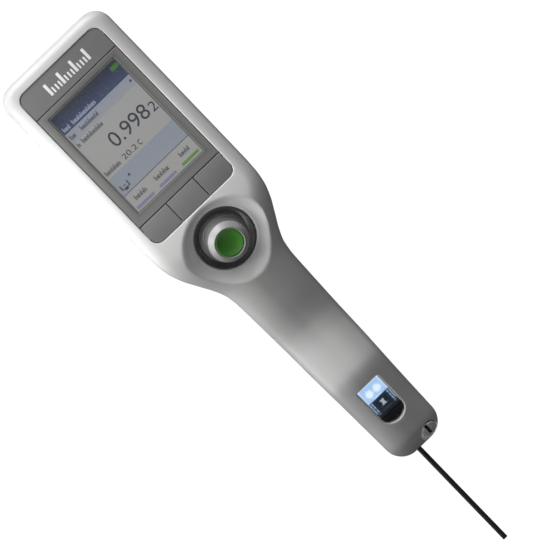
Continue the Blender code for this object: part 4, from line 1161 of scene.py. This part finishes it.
def back_parts():
    cover = back_piece("bay_cover", cover_outline(0.0), 0.0038, 0.0020, 0.0003)
    place = Matrix.Translation((0, along(COVER_SCREW_S), 0))
    hole = mm((0, -4), (5, -4), (5, 1.8), (4.5, 2.4), (4.5, 6), (0, 6))
    cut(cover, turned("hole", hole, place, 64))
    for i in range(7):
        s = 0.0120 + 0.0024 * i
        outline = block(-0.009, 0.009, s - 0.0004, s + 0.0004, 0.0004, steps=4)
        cut(cover, pillow("groove", outline, 0.0012, 0.0023, 0.00015))
    dress(cover, SHELL_LOOK, "battery_cover", "battery_door")
    profile = rounded(mm(
        (0, 9.5), (2, 9.5), (2, 4), (4.2, 4), (4.2, 2.4), (3.9, 2.2), (0, 2.2),
    ), 0.0002)
    coin = turned("bay_screw", profile, place, 56, 35)
    cut(coin, box("slot", (-0.0006, -0.006, -0.001), (0.0006, 0.006, 0.0031), place, 0.00008))
    dress(coin, STEEL_LOOK, "cover_screw", "door_screw")
    profile = mm(
        (0, 0), (1.3, 0), (2.1, 0.2), (2.5, 0.7), (2.5, 1.7), (1.1, 1.7), (1.1, 11.8), (0, 11.8),
    )
    for i, (x, s) in enumerate(CASE_SCREWS, 1):
        at = Matrix.Translation((x, along(s), smooth(BACK, s) + 0.0008))
        cross_screw(f"back_screw_{i}", at, profile, f"case_screw_{i}")
    for name, node, x, half, stretch, corner, _, depth in PADS:
        outline = block(x - half, x + half, *stretch, corner)
        pad = back_piece(name, outline, depth - GAP, 0.0, 0.0004)
        dress(pad, RUBBER_LOOK, node)


def back_piece(name, outline_at, high, low, edge):
    """Piece set in the back, with a rounded lower edge."""
    rings = [[(x, y, high) for x, y in outline_at(0.0)]]
    for s, c in quarter(4):
        z = low + edge * (1 - s)
        rings.append([(x, y, z) for x, y in outline_at(-edge * (1 - c))])
    return loft(name, rings)


def inner_looks():
    """Finishes of the CAD nodes that keep their shape."""
    looks = (
        (BOARD_LOOK, ("main_board", "led_board", "cell_board")),
        (STEEL_LOOK, (
            "lcd_frame", "bridge_plate", "terminal_plate_left", "terminal_plate_right",
            "contact_spring_left", "contact_spring_right", "cell_magnet", "temperature_sensor",
        )),
        (WHITE_LOOK, ("backlight", "piston_rod")),
        # The panel carrier is black partly as its own colour and partly as painted shade seen
        # through the gaps of the panel.
        (BLACK_LOOK, (
            "panel_carrier", "battery_tray", "cell_manifold", "key_switch_left",
            "key_switch_middle", "key_switch_right",
        )),
        (BATTERY_LOOK, ("battery_left", "battery_right")),
        (CABLE_LOOK, ("flat_cable",)),
        (CLEAR_LOOK, ("suction_hose", "pump_cylinder")),
        (RUBBER_LOOK, ("inlet_seal", "cover_seal", "piston_seal")),
        (BRASS_LOOK, ("inlet_fitting",)),
        (COPPER_LOOK, ("pickup_coil",)),
    )
    for look, names in looks:
        for name in names:
            NODES[name].data.materials.clear()
            NODES[name].data.materials.append(look)


shells()
title_plate()
display_window()
soft_keys()
screen_picture()
pump()
cell_parts()
tip_parts()
back_parts()
inner_looks()

# Camera, light and floor

camera = bpy.data.cameras.new("camera")
camera.lens = CAMERA_LENS
camera_at = placed("camera", camera)
camera_at.location = CAMERA_PLACE
camera_at.rotation_euler = (0, 0, CAMERA_TURN)
camera.clip_start = 0.1
bpy.context.scene.camera = camera_at


def soft(name, place, size, power, shadow=True):
    """Light panel at a place, facing the object."""
    data = bpy.data.lights.new(name, "AREA")
    data.shape = "RECTANGLE"
    data.size, data.size_y = size
    data.energy = power
    data.use_shadow = shadow
    obj = placed(name, data)
    obj.location = place
    obj.rotation_euler = (Vector(place) - Vector(LIGHT_AIM)).to_track_quat("Z", "Y").to_euler()
    obj.visible_camera = False


soft("left_panel", (-0.12, 0.13, 0.11), (0.10, 0.10), 0.125)
soft("left_low_panel", (-0.12, 0.10, 0.06), (0.08, 0.08), 0.075, False)
soft("top_panel", (0.0, 0.10, 0.16), (0.10, 0.10), 0.055, False)
soft("head_panel", (0.0, 0.62, 0.22), (0.35, 0.25), 3.1)
soft("corner_panel", (-0.35, 0.62, 0.08), (0.25, 0.15), 0.28)
soft("side_panel", (-0.50, 0.0, 0.05), (0.25, 0.08), 0.70, False)
soft("right_panel", (0.50, 0.10, 0.05), (0.20, 0.10), 0.26, False)
soft("foot_panel", (0.0, -0.30, 0.10), (0.12, 0.12), 0.045, False)

world = bpy.data.worlds.new("studio")
world.use_nodes = True
background = world.node_tree.nodes["Background"]
background.inputs["Color"].default_value = (1, 1, 1, 1)
background.inputs["Strength"].default_value = WORLD_LIGHT
bpy.context.scene.world = world
bpy.context.scene.view_settings.view_transform = "Standard"

bm = bmesh.new()
bmesh.ops.create_grid(bm, x_segments=1, y_segments=1, size=FLOOR_SIZE)
floor = object_from("floor", bm)
floor_look = Look("studio_floor", (0.5, 0.5, 0.5), 0.9)
floor_look.set("Emission Color", (1, 1, 1, 1))
floor_look.set("Emission Strength", FLOOR_LIGHT)
tinted(floor, floor_look.made)
floor.visible_diffuse = False
floor.visible_glossy = False
